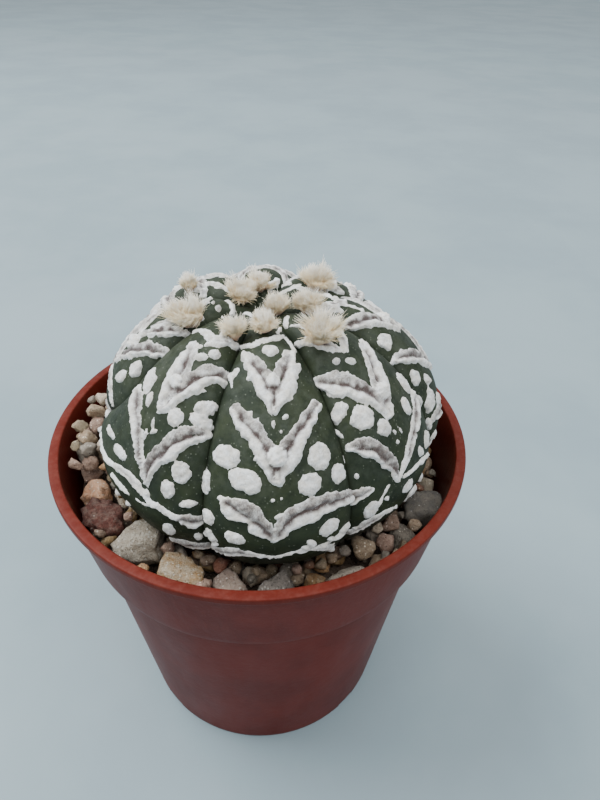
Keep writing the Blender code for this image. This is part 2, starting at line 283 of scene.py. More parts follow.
def useGroup(tree, group, **values):  # a capital letter inside a name stands for a space before it
    made = addNode(tree, "Group", node_tree=group)
    for name, value in values.items():
        label = "".join(" " + c if c.isupper() else c for c in name)
        feed(tree, made.inputs[label[0].upper() + label[1:]], value)
    return made.outputs


def mottleGroup():  # three colors in soft patches of two sizes
    tree, given, out = newGroup("mottle", (
        ("Scale", 300.0), ("First", (0.5, 0.5, 0.5)), ("Second", (0.4, 0.4, 0.4)),
        ("Third", (0.3, 0.3, 0.3)), ("Spread", 0.5)), (("Color", "Color"), ("Mask", "Float")))
    spot = place(tree)
    broad = between(tree, noise(tree, spot, given["Scale"], 4.0, 0.6), 0.36, 0.64)
    fineScale = calculate(tree, "MULTIPLY", given["Scale"], 3.7)
    fine = between(tree, noise(tree, spot, fineScale, 5.0, 0.7), 0.45, 0.72)
    mixed = mixColors(tree, broad, given["First"], given["Second"])
    mixed = mixColors(tree, calculate(tree, "MULTIPLY", fine, given["Spread"]), mixed, given["Third"])
    feed(tree, out["Color"], mixed)
    feed(tree, out["Mask"], fine)
    return tree


def speckGroup():  # small scattered grains of another color
    tree, given, out = newGroup("specks", (
        ("Base", (0.5, 0.5, 0.5)), ("Speck", (0.9, 0.9, 0.9)), ("Scale", 2500.0), ("Amount", 0.3)),
        (("Color", "Color"), ("Mask", "Float")))
    grains = cells(tree, place(tree), given["Scale"])
    chosen = calculate(tree, "LESS_THAN", addNode(tree, "SeparateColor", {
        "Color": grains.outputs["Color"]}).outputs["Red"], given["Amount"])
    rounded = between(tree, grains.outputs["Distance"], 0.42, 0.22)
    mask = calculate(tree, "MULTIPLY", chosen, rounded)
    feed(tree, out["Color"], mixColors(tree, mask, given["Base"], given["Speck"]))
    feed(tree, out["Mask"], mask)
    return tree


def grainGroup():  # height of a rough surface: broad lumps, fine grit and small pits
    tree, given, out = newGroup("grain", (
        ("Scale", 900.0), ("Grit", 0.5), ("Pits", 0.3)), (("Height", "Float"),))
    spot = place(tree)
    lumps = noise(tree, spot, given["Scale"], 5.0, 0.62)
    grit = noise(tree, spot, calculate(tree, "MULTIPLY", given["Scale"], 4.5), 3.0, 0.6)
    pits = between(tree, cells(tree, spot, calculate(tree, "MULTIPLY", given["Scale"], 1.6)
                               ).outputs["Distance"], 0.05, 0.35)
    height = calculate(tree, "MULTIPLY_ADD", grit, given["Grit"], lumps)
    feed(tree, out["Height"], calculate(tree, "MULTIPLY_ADD", pits, given["Pits"], height))
    return tree


def dustGroup():  # pale dust that has settled on what faces up
    tree, given, out = newGroup("dust", (
        ("Base", (0.5, 0.5, 0.5)), ("Dust", (0.6, 0.6, 0.6)), ("Scale", 500.0), ("Amount", 0.3)),
        (("Color", "Color"), ("Mask", "Float")))
    up = addNode(tree, "SeparateXYZ", {"Vector": addNode(tree, "NewGeometry").outputs["Normal"]})
    facing = between(tree, up.outputs["Z"], -0.1, 0.9)
    patchy = between(tree, noise(tree, place(tree), given["Scale"], 5.0, 0.7), 0.42, 0.66)
    mask = calculate(tree, "MULTIPLY", calculate(tree, "MULTIPLY", facing, patchy), given["Amount"])
    feed(tree, out["Color"], mixColors(tree, mask, given["Base"], given["Dust"]))
    feed(tree, out["Mask"], mask)
    return tree


def toneGroup():  # each stone a little lighter or darker, warmer or cooler than the next
    tree, given, out = newGroup("tone", (
        ("Base", (0.5, 0.5, 0.5)), ("Tone", 0.5), ("Range", 0.5)), (("Color", "Color"),))
    offset = calculate(tree, "SUBTRACT", given["Tone"], 0.5)
    value = calculate(tree, "MULTIPLY_ADD", offset, given["Range"], 1.0)
    hue = calculate(tree, "MULTIPLY_ADD", offset, -0.02, 0.5)
    shifted = addNode(tree, "HueSaturation", {"Color": given["Base"], "Hue": hue, "Value": value})
    feed(tree, out["Color"], shifted.outputs["Color"])
    return tree


groups = {"mottle": mottleGroup(), "specks": speckGroup(), "grain": grainGroup(),
          "dust": dustGroup(), "tone": toneGroup()}


def newMaterial(name, roughness=0.6, **fixed):
    material = bpy.data.materials.new(name)
    material.use_nodes = True
    tree = material.node_tree
    shader = tree.nodes["Principled BSDF"]
    feed(tree, shader.inputs["Roughness"], roughness)
    for label, value in fixed.items():
        spaced = "".join(" " + c if c.isupper() else c for c in label)
        feed(tree, shader.inputs[(spaced[0].upper() + spaced[1:]).replace("I O R", "IOR")], value)
    return material, tree, shader


def roughen(tree, shader, height, depth, strength=1.0):  # depth in mm
    bump = addNode(tree, "Bump", {"Height": height, "Strength": strength, "Distance": depth * mm})
    feed(tree, shader.inputs["Normal"], bump.outputs["Normal"])


# The cactus body
skinLook = {
    "green": (0.0145, 0.0215, 0.0112), "olive": (0.0240, 0.0315, 0.0140), "deep": (0.0072, 0.0118, 0.0072),
    "freckle": (0.085, 0.095, 0.07), "roughness": 0.62,
    "rowStep": 0.6, "columns": 41, "relief": 0.10, "reliefSize": 4.0,
}


def skinMaterial(look):
    material, tree, shader = newMaterial("cactusSkin", look["roughness"], specularIORLevel=0.2)
    patches = useGroup(tree, groups["mottle"], scale=170.0, first=look["green"], second=look["olive"],
                       third=look["deep"], spread=0.55)
    freckled = useGroup(tree, groups["specks"], base=patches["Color"], speck=look["freckle"],
                        scale=2600.0, amount=0.10)
    dusty = useGroup(tree, groups["dust"], base=freckled["Color"], dust=(0.10, 0.11, 0.09), scale=420.0,
                     amount=0.22)
    feed(tree, shader.inputs["Base Color"], dusty["Color"])
    waxy = between(tree, patches["Mask"], 0.0, 1.0)
    feed(tree, shader.inputs["Roughness"], calculate(tree, "MULTIPLY_ADD", waxy, 0.14, look["roughness"]))
    grain = useGroup(tree, groups["grain"], scale=1500.0, grit=0.5, pits=0.35)
    roughen(tree, shader, grain["Height"], 0.05, 0.6)
    return material


def buildSkin(look):
    columns = look["columns"]
    downs = np.arange(look["rowStep"], crestLength[-1] - look["rowStep"] / 2, look["rowStep"])
    parts = []
    for rib in range(ribCount):
        points, normals, _, _ = ribGrid(rib, downs, columns)
        relief = latticeNoise(points, look["reliefSize"], 3) * look["relief"]
        relief += latticeNoise(points, look["reliefSize"] / 4, 4) * look["relief"] * 0.3
        parts.append((points + normals * relief[..., None])[:, :-1])
    body = np.concatenate(parts, axis=1)
    rows, around = body.shape[:2]
    top = ribSkin(0, np.array(0.0), np.array(0.0))
    bottom = ribSkin(0, np.array(0.0), np.array(float(len(plantShape["crest"]) - 1)))
    points = np.concatenate([body.reshape(-1, 3), top[None], bottom[None]])
    faces = [gridFaces(rows, around, wrap=True)] + poleFans(rows, around)
    return makePiece("cactusSkin", points, [block[:, ::-1] for block in faces], skinMaterial(look),
                     "cactus_skin", replaces=["cactus_body"])


# Felt: raised woolly bands, spots and knobs, in mm from each rib's crest and down from the crown.
# A band's point is side, down, width of its lip toward the crown and of its lip toward the root.
# A spot is side, down, half size across, half size down and turn. A knob is side, down and radius.
feltLook = {
    "rowStep": 0.22, "columns": 133, "thickness": 0.66, "spotThickness": 0.55, "edge": 0.55,
    "ragged": 0.38, "raggedSize": 1.2, "fray": 0.28, "fraySize": 0.5, "furrow": 0.36, "sink": 0.14,
    "lump": 0.13, "fluff": 0.13, "spotScale": 0.88,
    "first": 3.4, "last": 62.0,
}
crownArms = (  # round the wool on the shoulder of a rib
    ((-5.6, 12.6, 0.6, 0.7), (-3.8, 14.6, 1.1, 1.1), (-1.7, 17.0, 1.2, 1.4), (0.0, 19.4, 0.7, 1.0)),
    ((5.4, 12.4, 0.6, 0.7), (3.6, 14.4, 1.1, 1.2), (1.6, 17.0, 1.2, 1.4), (0.0, 19.4, 0.7, 1.0)),
)
plainBands = crownArms + (
    ((-8.0, 20.2, 0.9, 0.9), (-5.8, 22.8, 1.9, 1.6), (-3.4, 25.6, 2.0, 1.7), (-1.4, 28.2, 1.5, 2.0),
     (0.0, 31.5, 0.8, 1.5)),
    ((8.2, 19.8, 0.9, 0.9), (5.9, 22.8, 1.8, 1.7), (3.5, 25.5, 1.9, 1.9), (1.5, 28.2, 1.4, 2.2),
     (0.0, 31.5, 0.8, 1.5)),
    ((-10.4, 30.6, 0.9, 0.9), (-7.5, 33.2, 1.9, 1.6), (-4.9, 36.4, 2.0, 1.6), (-2.4, 39.6, 1.7, 1.5),
     (0.0, 43.5, 0.7, 1.0)),
    ((10.2, 31.0, 0.9, 0.9), (7.4, 33.6, 1.8, 1.6), (4.8, 36.6, 2.0, 1.6), (2.4, 39.8, 1.7, 1.5),
     (0.0, 43.5, 0.7, 1.0)),
    ((-11.5, 43.6, 0.7, 0.7), (-7.2, 44.0, 1.4, 1.3), (-3.6, 46.4, 1.3, 1.2), (-0.4, 49.8, 0.6, 0.7)),
    ((11.2, 43.2, 0.7, 0.7), (7.0, 44.2, 1.4, 1.4), (3.4, 46.6, 1.3, 1.2), (0.4, 49.8, 0.6, 0.7)),
    ((-9.5, 52.0, 0.5, 0.6), (-5.0, 51.2, 0.8, 0.8), (-0.6, 54.0, 0.4, 0.4)),
)
plainSpots = (
    (-8.2, 27.6, 1.9, 1.8, 10), (7.9, 26.9, 2.0, 1.8, -15), (-5.2, 30.6, 2.2, 1.9, 20),
    (4.9, 31.0, 2.0, 2.2, -10), (-2.2, 34.2, 1.4, 1.3, 0), (2.3, 33.8, 1.2, 1.5, 0),
    (-9.4, 39.4, 2.0, 2.2, 0), (8.9, 38.4, 2.2, 1.8, -25), (-5.2, 42.2, 1.6, 1.3, 15),
    (5.8, 41.6, 1.4, 1.6, 0), (-11.6, 36.0, 1.2, 2.0, 0), (11.8, 37.0, 1.1, 2.1, 0),
    (-9.0, 48.6, 1.6, 1.2, 0), (8.6, 48.8, 1.8, 1.3, -20), (-3.4, 50.6, 1.0, 0.8, 0),
    (2.8, 51.2, 1.2, 0.9, 10), (0.3, 15.2, 1.2, 1.0, 0), (0.4, 46.2, 0.6, 0.5, 0),
    (-0.5, 22.4, 0.6, 0.5, 0), (10.4, 24.4, 0.8, 1.4, 0),
)
crownFelt = {  # strips between the wool of the crown, by rib
    0: (((-2.6, 14.3, 0.5, 0.5), (-1.0, 13.7, 0.7, 0.6), (0.8, 13.4, 0.7, 0.6), (2.8, 12.4, 0.5, 0.5)),
        ((2.0, 11.4, 0.35, 0.35), (2.6, 10.0, 0.45, 0.4), (3.0, 8.8, 0.3, 0.3)),
        ((4.8, 15.2, 0.5, 0.5), (4.1, 13.8, 0.6, 0.6), (3.4, 12.6, 0.5, 0.5))),
    1: (((-2.8, 8.8, 0.4, 0.4), (-1.8, 7.8, 0.5, 0.45), (-0.4, 7.0, 0.4, 0.35)),
        ((-1.8, 12.6, 0.45, 0.4), (-0.2, 12.0, 0.6, 0.5), (1.6, 11.6, 0.6, 0.5), (3.2, 11.0, 0.4, 0.4)),
        ((-2.4, 9.4, 0.35, 0.35), (-1.8, 11.0, 0.5, 0.45), (-1.6, 12.8, 0.4, 0.4))),
    2: (((-1.6, 10.4, 0.5, 0.5), (-2.1, 12.0, 0.8, 0.8), (-2.7, 14.4, 0.6, 0.6)),
        ((-1.2, 12.0, 0.4, 0.4), (-1.0, 14.6, 0.5, 0.5), (-0.6, 18.6, 0.4, 0.4)),
        ((3.6, 10.4, 0.6, 0.6), (2.4, 12.0, 0.8, 0.8), (1.0, 12.8, 0.5, 0.5))),
    3: (((0.8, 5.4, 0.4, 0.4), (-0.1, 8.0, 0.6, 0.5), (-1.0, 10.8, 0.6, 0.5)),
        ((-1.2, 9.0, 0.6, 0.6), (-2.8, 10.8, 1.0, 0.9), (-4.4, 12.8, 0.9, 0.8)),
        ((-2.2, 14.2, 0.8, 0.8), (-3.6, 16.4, 1.1, 1.1), (-5.0, 18.2, 0.7, 0.7)),
        ((3.8, 10.6, 0.7, 0.6), (2.4, 9.6, 0.8, 0.7), (1.2, 9.0, 0.5, 0.5))),
    4: (((4.6, 11.8, 0.6, 0.6), (3.1, 10.0, 1.0, 0.8), (2.2, 8.0, 0.9, 0.7), (1.2, 6.2, 0.5, 0.5)),
        ((-3.4, 11.0, 0.6, 0.6), (-2.2, 8.8, 1.0, 0.8), (-1.4, 6.8, 0.7, 0.6))),
    5: (((2.5, 15.2, 0.5, 0.5), (1.7, 12.4, 0.8, 0.7), (1.4, 10.0, 0.7, 0.6), (1.0, 7.4, 0.4, 0.4)),
        ((3.4, 13.6, 0.8, 0.8), (3.4, 16.0, 1.1, 1.0), (3.0, 19.0, 0.8, 0.8)),
        ((-3.4, 11.4, 0.6, 0.6), (-2.2, 9.6, 0.8, 0.7), (-0.8, 8.4, 0.5, 0.5))),
    6: (((-1.4, 7.4, 0.4, 0.4), (0.2, 6.2, 0.7, 0.6), (1.8, 6.2, 0.7, 0.6), (2.6, 6.8, 0.4, 0.4)),
        ((-1.2, 10.6, 0.5, 0.5), (0.4, 11.6, 0.8, 0.8), (1.6, 13.0, 0.6, 0.6)),
        ((4.2, 12.6, 0.6, 0.6), (3.6, 15.2, 1.0, 1.1), (3.0, 18.4, 1.0, 1.0), (1.8, 22.4, 0.9, 0.9))),
    7: (((-1.6, 4.4, 0.35, 0.35), (-0.4, 4.0, 0.5, 0.5), (0.8, 4.2, 0.35, 0.35)),
        ((1.0, 12.6, 0.5, 0.5), (1.8, 14.2, 0.8, 0.8), (3.2, 13.6, 0.6, 0.6)),
        ((-2.9, 18.6, 0.4, 0.4), (-1.7, 18.0, 0.5, 0.5), (-0.4, 17.6, 0.4, 0.4))),
}
crownSpots = {2: ((0.3, 13.6, 0.9, 1.0, 0), (2.0, 8.8, 0.8, 0.6, 0)), 6: ((1.7, 9.0, 1.0, 0.7, 20),
              (0.4, 9.9, 0.6, 0.4, 0)), 7: ((-2.4, 9.6, 0.7, 0.5, 0),), 3: ((2.0, 12.4, 1.0, 0.8, 0),),
              4: ((0.8, 11.6, 1.1, 0.8, 0),), 5: ((-1.6, 13.6, 0.9, 0.7, 0), (0.0, 17.6, 1.0, 0.8, 0))}
feltRibs = (
    {"name": "feltFront", "rib": 0, "bands": (
        ((-4.9, 13.5, 0.5, 0.5), (-3.1, 14.4, 0.6, 0.6), (-1.6, 14.2, 0.3, 0.4)),
        ((-3.3, 16.6, 1.0, 1.5), (-1.5, 20.4, 1.9, 2.0), (0.3, 23.6, 1.5, 2.5), (0.1, 25.8, 0.5, 1.0)),
        ((3.5, 16.4, 1.0, 1.3), (1.9, 20.8, 1.9, 2.6), (0.5, 23.6, 1.5, 2.5), (0.1, 25.8, 0.5, 1.0)),
        ((-6.9, 18.9, 0.9, 0.9), (-5.7, 18.8, 0.8, 0.9)),
        ((-6.0, 25.4, 1.2, 1.1), (-4.2, 28.0, 1.9, 1.6), (-2.2, 30.5, 1.6, 1.9), (-0.8, 32.6, 1.5, 2.5),
         (0.0, 35.8, 0.7, 1.5)),
        ((7.2, 25.2, 1.2, 1.1), (4.9, 28.0, 1.5, 1.7), (2.9, 30.4, 1.3, 2.3), (1.5, 32.6, 1.4, 2.8),
         (0.2, 35.8, 0.7, 1.5)),
        ((-9.1, 39.8, 0.6, 0.7), (-6.9, 41.0, 1.9, 2.5), (-4.5, 42.4, 2.4, 1.4), (-2.7, 43.9, 1.8, 1.8),
         (-0.6, 46.2, 0.7, 0.9)),
        ((14.0, 41.6, 1.5, 2.0), (8.7, 41.2, 1.7, 1.6), (5.1, 41.6, 1.8, 2.5), (2.1, 42.9, 1.8, 2.1),
         (-0.4, 46.2, 0.7, 0.9)),
        ((-11.5, 54.0, 0.8, 0.8), (-8.2, 51.6, 1.3, 1.1), (-5.0, 50.4, 0.9, 0.8), (-1.0, 51.6, 0.4, 0.4)),
        ((9.5, 52.5, 0.9, 0.8), (6.4, 50.8, 0.7, 0.6), (3.2, 50.2, 0.6, 0.6), (-0.4, 51.6, 0.4, 0.4)),
    ), "spots": (
        (0.3, 15.8, 1.5, 1.2, 0), (4.6, 18.6, 0.9, 1.2, 10), (-6.7, 20.6, 0.4, 1.4, -8),
        (5.6, 48.4, 0.8, 1.7, -35), (7.7, 50.4, 1.5, 0.8, -10), (9.2, 49.0, 0.9, 0.6, 0),
        (-7.6, 47.2, 0.7, 0.6, 0),
        (12.3, 48.3, 1.7, 1.0, -20), (-13.0, 49.0, 1.1, 0.8, 10), (-10.9, 50.8, 0.9, 1.3, 30),
        (0.4, 42.0, 0.8, 0.4, -20),
        (1.9, 26.9, 0.75, 0.5, -35), (0.0, 28.0, 0.5, 0.8, 0), (1.1, 29.1, 0.35, 0.45, 0),
        (-7.9, 32.8, 2.8, 2.3, 15), (-12.5, 37.0, 1.6, 3.2, 0), (-4.9, 36.4, 3.2, 2.2, 20),
        (7.2, 33.2, 2.4, 2.6, 0), (5.4, 37.4, 2.3, 2.0, -30), (10.8, 36.6, 1.9, 2.1, -15),
        (-0.6, 39.5, 0.5, 0.5, 0), (0.7, 39.2, 0.35, 0.4, 0), (0.1, 42.2, 0.7, 0.4, -20),
        (-7.0, 46.8, 2.3, 1.5, 5), (-11.6, 48.4, 1.1, 2.2, -30), (-11.9, 44.2, 1.6, 1.7, 0),
        (8.7, 46.0, 2.2, 1.9, -15),
        (4.8, 49.4, 1.3, 0.8, 35), (11.2, 49.4, 2.2, 0.9, -18), (7.9, 50.4, 0.8, 0.6, 0),
        (9.9, 55.0, 1.4, 0.9, -20), (13.2, 33.4, 0.5, 1.6, 0), (-12.9, 31.6, 0.4, 1.5, 0),
    ), "knobs": ((0.4, 21.2, 1.1), (0.3, 32.8, 1.55))},
    {"name": "feltFrontRight", "rib": 1, "bands": (
        ((-4.9, 12.8, 0.7, 0.7), (-3.5, 14.4, 1.0, 1.0), (-1.8, 17.2, 0.9, 1.2), (-0.4, 19.2, 0.6, 0.7)),
        ((3.4, 13.6, 0.7, 0.8), (1.9, 16.8, 1.0, 1.1), (0.4, 19.4, 0.6, 0.7)),
        ((-7.9, 19.8, 0.9, 0.9), (-5.8, 22.6, 2.1, 1.8), (-3.5, 25.4, 2.2, 1.7), (-1.6, 27.6, 1.5, 2.0),
         (0.0, 31.8, 0.7, 1.4)),
        ((4.7, 20.4, 0.9, 1.5), (3.4, 22.8, 1.0, 2.1), (1.9, 25.6, 1.3, 2.4), (1.0, 28.0, 1.2, 2.8),
         (0.1, 31.8, 0.7, 1.4)),
        ((-9.4, 32.8, 0.8, 0.8), (-7.2, 34.4, 1.9, 1.3), (-5.2, 37.0, 2.1, 1.2), (-3.6, 40.2, 1.8, 1.1),
         (-2.5, 43.4, 0.6, 0.7)),
        ((10.8, 32.4, 0.6, 0.8), (8.4, 34.8, 0.9, 1.7), (5.4, 36.8, 0.9, 1.5), (1.6, 39.4, 0.8, 1.2),
         (-1.9, 43.0, 0.5, 0.6)),
        ((-13.0, 43.2, 1.7, 1.8), (-10.6, 42.6, 1.6, 1.5), (-8.6, 42.4, 0.9, 0.9)),
        ((9.6, 46.2, 0.5, 0.5), (5.8, 44.8, 0.6, 0.6), (3.0, 44.3, 0.5, 0.5), (-0.8, 43.9, 0.4, 0.4)),
        ((-4.8, 43.4, 0.35, 0.35), (-6.4, 45.2, 0.45, 0.45), (-7.2, 46.6, 0.4, 0.4)),
        ((-11.0, 52.6, 1.0, 0.9), (-8.4, 50.2, 1.0, 1.0), (-5.6, 49.4, 0.8, 0.8), (-2.4, 50.2, 0.4, 0.4)),
    ), "spots": (
        (-2.6, 20.2, 0.9, 0.8, 10), (-0.6, 21.6, 1.2, 0.8, 35), (-7.8, 26.6, 2.2, 1.9, -20),
        (-4.9, 30.2, 2.6, 2.4, 5), (-2.3, 33.6, 1.6, 1.8, 0), (-0.5, 35.4, 0.4, 0.9, -20),
        (-9.9, 29.2, 0.5, 2.0, -18), (9.2, 30.2, 1.8, 2.7, -12), (5.2, 33.2, 1.6, 2.2, 0),
        (0.9, 35.6, 0.4, 1.1, -15), (-0.6, 37.2, 0.4, 0.6, 0), (-0.2, 46.6, 1.8, 1.2, -20),
        (9.3, 42.4, 1.5, 2.2, 30), (-8.5, 46.9, 1.5, 2.2, 15), (5.2, 42.4, 0.9, 1.3, 0),
        (3.0, 50.4, 1.9, 1.4, -10), (-5.4, 45.8, 0.6, 0.7, 0), (8.2, 51.4, 1.5, 1.1, 0),
        (-10.0, 38.4, 0.5, 0.9, 0), (4.6, 55.0, 1.3, 0.9, 0),
    ), "knobs": ((1.1, 28.4, 1.5),)},
    {"name": "feltRight", "rib": 2, "bands": (
        ((-5.4, 9.8, 0.6, 0.8), (-3.4, 11.4, 0.9, 1.0), (-1.2, 13.4, 0.9, 1.1), (0.4, 15.0, 0.5, 0.7)),
        ((-6.2, 14.6, 0.7, 0.9), (-4.8, 16.8, 1.5, 1.2), (-3.3, 19.4, 2.0, 1.4), (-1.4, 22.6, 1.7, 1.7),
         (0.0, 26.2, 0.7, 1.4)),
        ((5.4, 17.0, 1.1, 1.0), (3.4, 20.4, 1.7, 1.5), (1.4, 23.4, 1.6, 1.8), (0.0, 26.2, 0.7, 1.4)),
        ((-8.6, 25.6, 0.7, 0.8), (-6.6, 28.4, 1.6, 1.3), (-4.4, 31.2, 1.8, 1.5), (-2.0, 34.4, 1.4, 1.6),
         (0.0, 38.2, 0.7, 1.1)),
        ((8.4, 25.2, 0.8, 0.9), (6.2, 28.4, 1.6, 1.4), (4.2, 31.4, 1.8, 1.5), (2.0, 34.4, 1.4, 1.6),
         (0.0, 38.2, 0.7, 1.1)),
    ) + plainBands[6:], "spots": (
        (-5.9, 23.4, 1.9, 1.9, 10), (-8.6, 32.2, 1.5, 1.9, 0), (-6.4, 35.8, 1.1, 1.5, 0),
        (-8.2, 38.6, 1.2, 2.4, 15), (-11.3, 43.6, 1.0, 2.1, 0), (5.9, 23.8, 1.8, 1.7, 0),
    ) + plainSpots[6:16], "knobs": ((0.0, 23.2, 1.4),)},
    {"name": "feltBackRight", "rib": 3, "bands": plainBands, "spots": plainSpots,
     "knobs": ((0.1, 27.8, 1.5), (0.0, 40.0, 1.2)), "jitter": 0.5},
    {"name": "feltBack", "rib": 4, "bands": plainBands, "spots": plainSpots,
     "knobs": ((0.0, 28.0, 1.6), (0.2, 39.6, 1.3)), "jitter": 0.6},
    {"name": "feltBackLeft", "rib": 5, "bands": plainBands, "spots": plainSpots,
     "knobs": ((-0.1, 27.6, 1.4), (0.0, 40.2, 1.3)), "jitter": 0.6},
    {"name": "feltLeft", "rib": 6, "bands": (
        ((6.4, 15.6, 0.7, 0.8), (5.1, 18.8, 1.2, 1.0), (3.7, 21.6, 1.2, 1.1), (0.8, 25.8, 0.7, 0.8)),
        ((-6.4, 15.6, 0.7, 0.8), (-5.0, 18.8, 1.2, 1.1), (-3.3, 21.8, 1.2, 1.1), (-0.2, 25.8, 0.7, 0.8)),
        ((8.8, 20.4, 0.9, 0.9), (7.2, 22.8, 1.7, 1.3), (5.4, 25.8, 1.8, 1.3), (3.2, 29.2, 1.4, 1.3),
         (1.0, 33.0, 0.7, 1.0)),
        ((-8.6, 21.2, 0.9, 0.9), (-6.4, 24.0, 1.7, 1.4), (-4.2, 26.8, 1.8, 1.5), (-2.2, 29.6, 1.4, 1.5),
         (0.4, 33.0, 0.7, 1.0)),
        ((9.4, 37.8, 0.5, 0.6), (6.9, 37.0, 0.8, 0.8), (3.5, 36.6, 0.9, 0.9), (0.0, 37.0, 0.6, 0.7)),
    ) + plainBands[4:5] + plainBands[6:], "spots": (
        (8.1, 27.8, 1.8, 2.0, 0), (6.8, 32.2, 1.3, 2.2, 15), (-7.6, 28.6, 1.9, 1.8, 0),
        (-5.0, 31.6, 1.8, 1.7, 0),
    ) + plainSpots[6:7] + plainSpots[8:9], "knobs": ((1.8, 27.4, 1.5),)},
    {"name": "feltFrontLeft", "rib": 7, "bands": (
        ((0.4, 16.9, 0.5, 0.6), (2.0, 15.3, 0.9, 0.9), (4.2, 13.4, 0.8, 0.8), (5.6, 12.4, 0.5, 0.5)),
        ((-4.6, 15.2, 0.6, 0.7), (-2.6, 14.6, 0.8, 0.8), (0.2, 15.2, 0.7, 0.8), (1.2, 14.4, 0.4, 0.4)),
        ((8.4, 18.4, 1.2, 1.2), (4.6, 20.6, 1.9, 1.4), (2.3, 23.4, 2.0, 2.0), (0.8, 25.8, 1.8, 1.9),
         (-0.6, 28.8, 0.7, 1.5)),
        ((-1.7, 18.0, 0.8, 1.0), (-1.0, 20.6, 1.2, 2.0), (-0.5, 24.0, 1.2, 2.7), (-0.5, 26.4, 1.0, 2.3),
         (-0.7, 28.8, 0.7, 1.5)),
        ((-9.2, 28.4, 0.6, 0.8), (-7.0, 30.6, 1.2, 2.4), (-4.9, 33.2, 1.0, 1.8), (-2.5, 36.4, 0.9, 1.5),
         (0.2, 40.6, 0.6, 0.9)),
        ((8.8, 28.8, 0.8, 0.7), (5.4, 31.8, 2.0, 1.5), (2.9, 35.2, 1.9, 1.8), (1.1, 38.4, 1.4, 1.4),
         (0.5, 41.2, 0.6, 1.0)),
        ((-18.6, 44.2, 0.5, 0.6), (-14.5, 44.9, 0.7, 0.7), (-10.9, 44.4, 0.6, 0.7), (-7.4, 43.4, 0.8, 0.9),
         (-4.4, 42.9, 0.9, 0.9), (-1.3, 43.2, 0.8, 0.9), (0.8, 44.4, 0.7, 0.7), (2.4, 45.4, 0.6, 0.6)),
        ((11.4, 46.0, 0.9, 1.0), (9.4, 46.4, 1.6, 1.6), (6.4, 46.2, 0.7, 0.8), (3.8, 45.2, 0.8, 0.8),
         (2.4, 45.6, 0.6, 0.6)),
        ((-9.2, 46.0, 0.4, 0.5), (-5.8, 46.2, 0.7, 0.7), (-3.2, 46.6, 0.4, 0.4)),
        ((-1.6, 46.2, 0.35, 0.35), (0.4, 46.2, 0.5, 0.5), (1.8, 45.8, 0.4, 0.4)),
        ((9.6, 55.6, 1.2, 1.2), (6.2, 55.4, 1.4, 1.3), (3.0, 56.4, 0.6, 0.6)),
    ), "spots": (
        (0.9, 19.2, 1.3, 0.8, -30), (2.6, 17.5, 1.3, 1.1, 0), (6.2, 25.4, 2.9, 1.3, -39),
        (6.6, 27.9, 2.9, 1.35, -22), (2.2, 29.6, 1.7, 1.8, 0), (-6.8, 26.4, 1.8, 2.9, -28),
        (-4.3, 29.2, 0.9, 1.6, -10), (-1.3, 32.2, 0.4, 1.2, -20), (-0.5, 33.3, 0.9, 0.5, -40),
        (-2.0, 34.4, 0.35, 1.1, -10), (6.3, 37.4, 2.0, 2.2, 0), (4.9, 41.2, 1.5, 2.1, -10),
        (-7.1, 40.4, 2.7, 1.3, 0), (-12.4, 39.4, 2.4, 0.9, 0),
        (-20.5, 40.4, 1.3, 1.0, 0), (-18.4, 35.4, 1.0, 1.4, 0), (-21.6, 45.4, 1.2, 0.8, 0),
        (-4.6, 49.8, 0.9, 0.8, 0), (1.2, 43.6, 0.5, 0.9, -30),
        (8.4, 42.8, 2.0, 0.9, -25), (4.9, 50.0, 1.4, 2.0, 0), (-9.4, 51.2, 1.2, 0.9, 0),
        (9.8, 50.8, 1.0, 1.6, 20), (10.6, 34.6, 0.4, 1.3, 0),
    ), "knobs": ((-0.4, 24.6, 1.1),)},
)


def bandField(band, side, down):  # how far inside the band's edge, and how its lips rise
    steps = 6
    line = curveAt(band, np.linspace(0, len(band) - 1, (len(band) - 1) * steps + 1))
    inward = 1.0 if line[-1, 0] > line[0, 0] else -1.0
    nearest = np.full(side.shape, 1e9)
    width = np.zeros(side.shape)
    upper = np.zeros(side.shape, bool)
    along = np.zeros(side.shape)
    for number, (a, b) in enumerate(zip(line[:-1], line[1:])):
        run = b[:2] - a[:2]
        share = ((side - a[0]) * run[0] + (down - a[1]) * run[1]) / max(run @ run, 1e-6)
        share = np.clip(share, 0, 1)
        dx = side - a[0] - run[0] * share
        dy = down - a[1] - run[1] * share
        distance = np.hypot(dx, dy)
        better = distance < nearest
        isUpper = (dx * run[1] - dy * run[0]) * inward > 0
        lip = np.where(isUpper, a[2] + (b[2] - a[2]) * share, a[3] + (b[3] - a[3]) * share)
        nearest = np.where(better, distance, nearest)
        width = np.where(better, lip, width)
        upper = np.where(better, isUpper, upper)
        along = np.where(better, (number + share) / (len(line) - 1), along)
    return width - nearest, nearest, width, upper, along


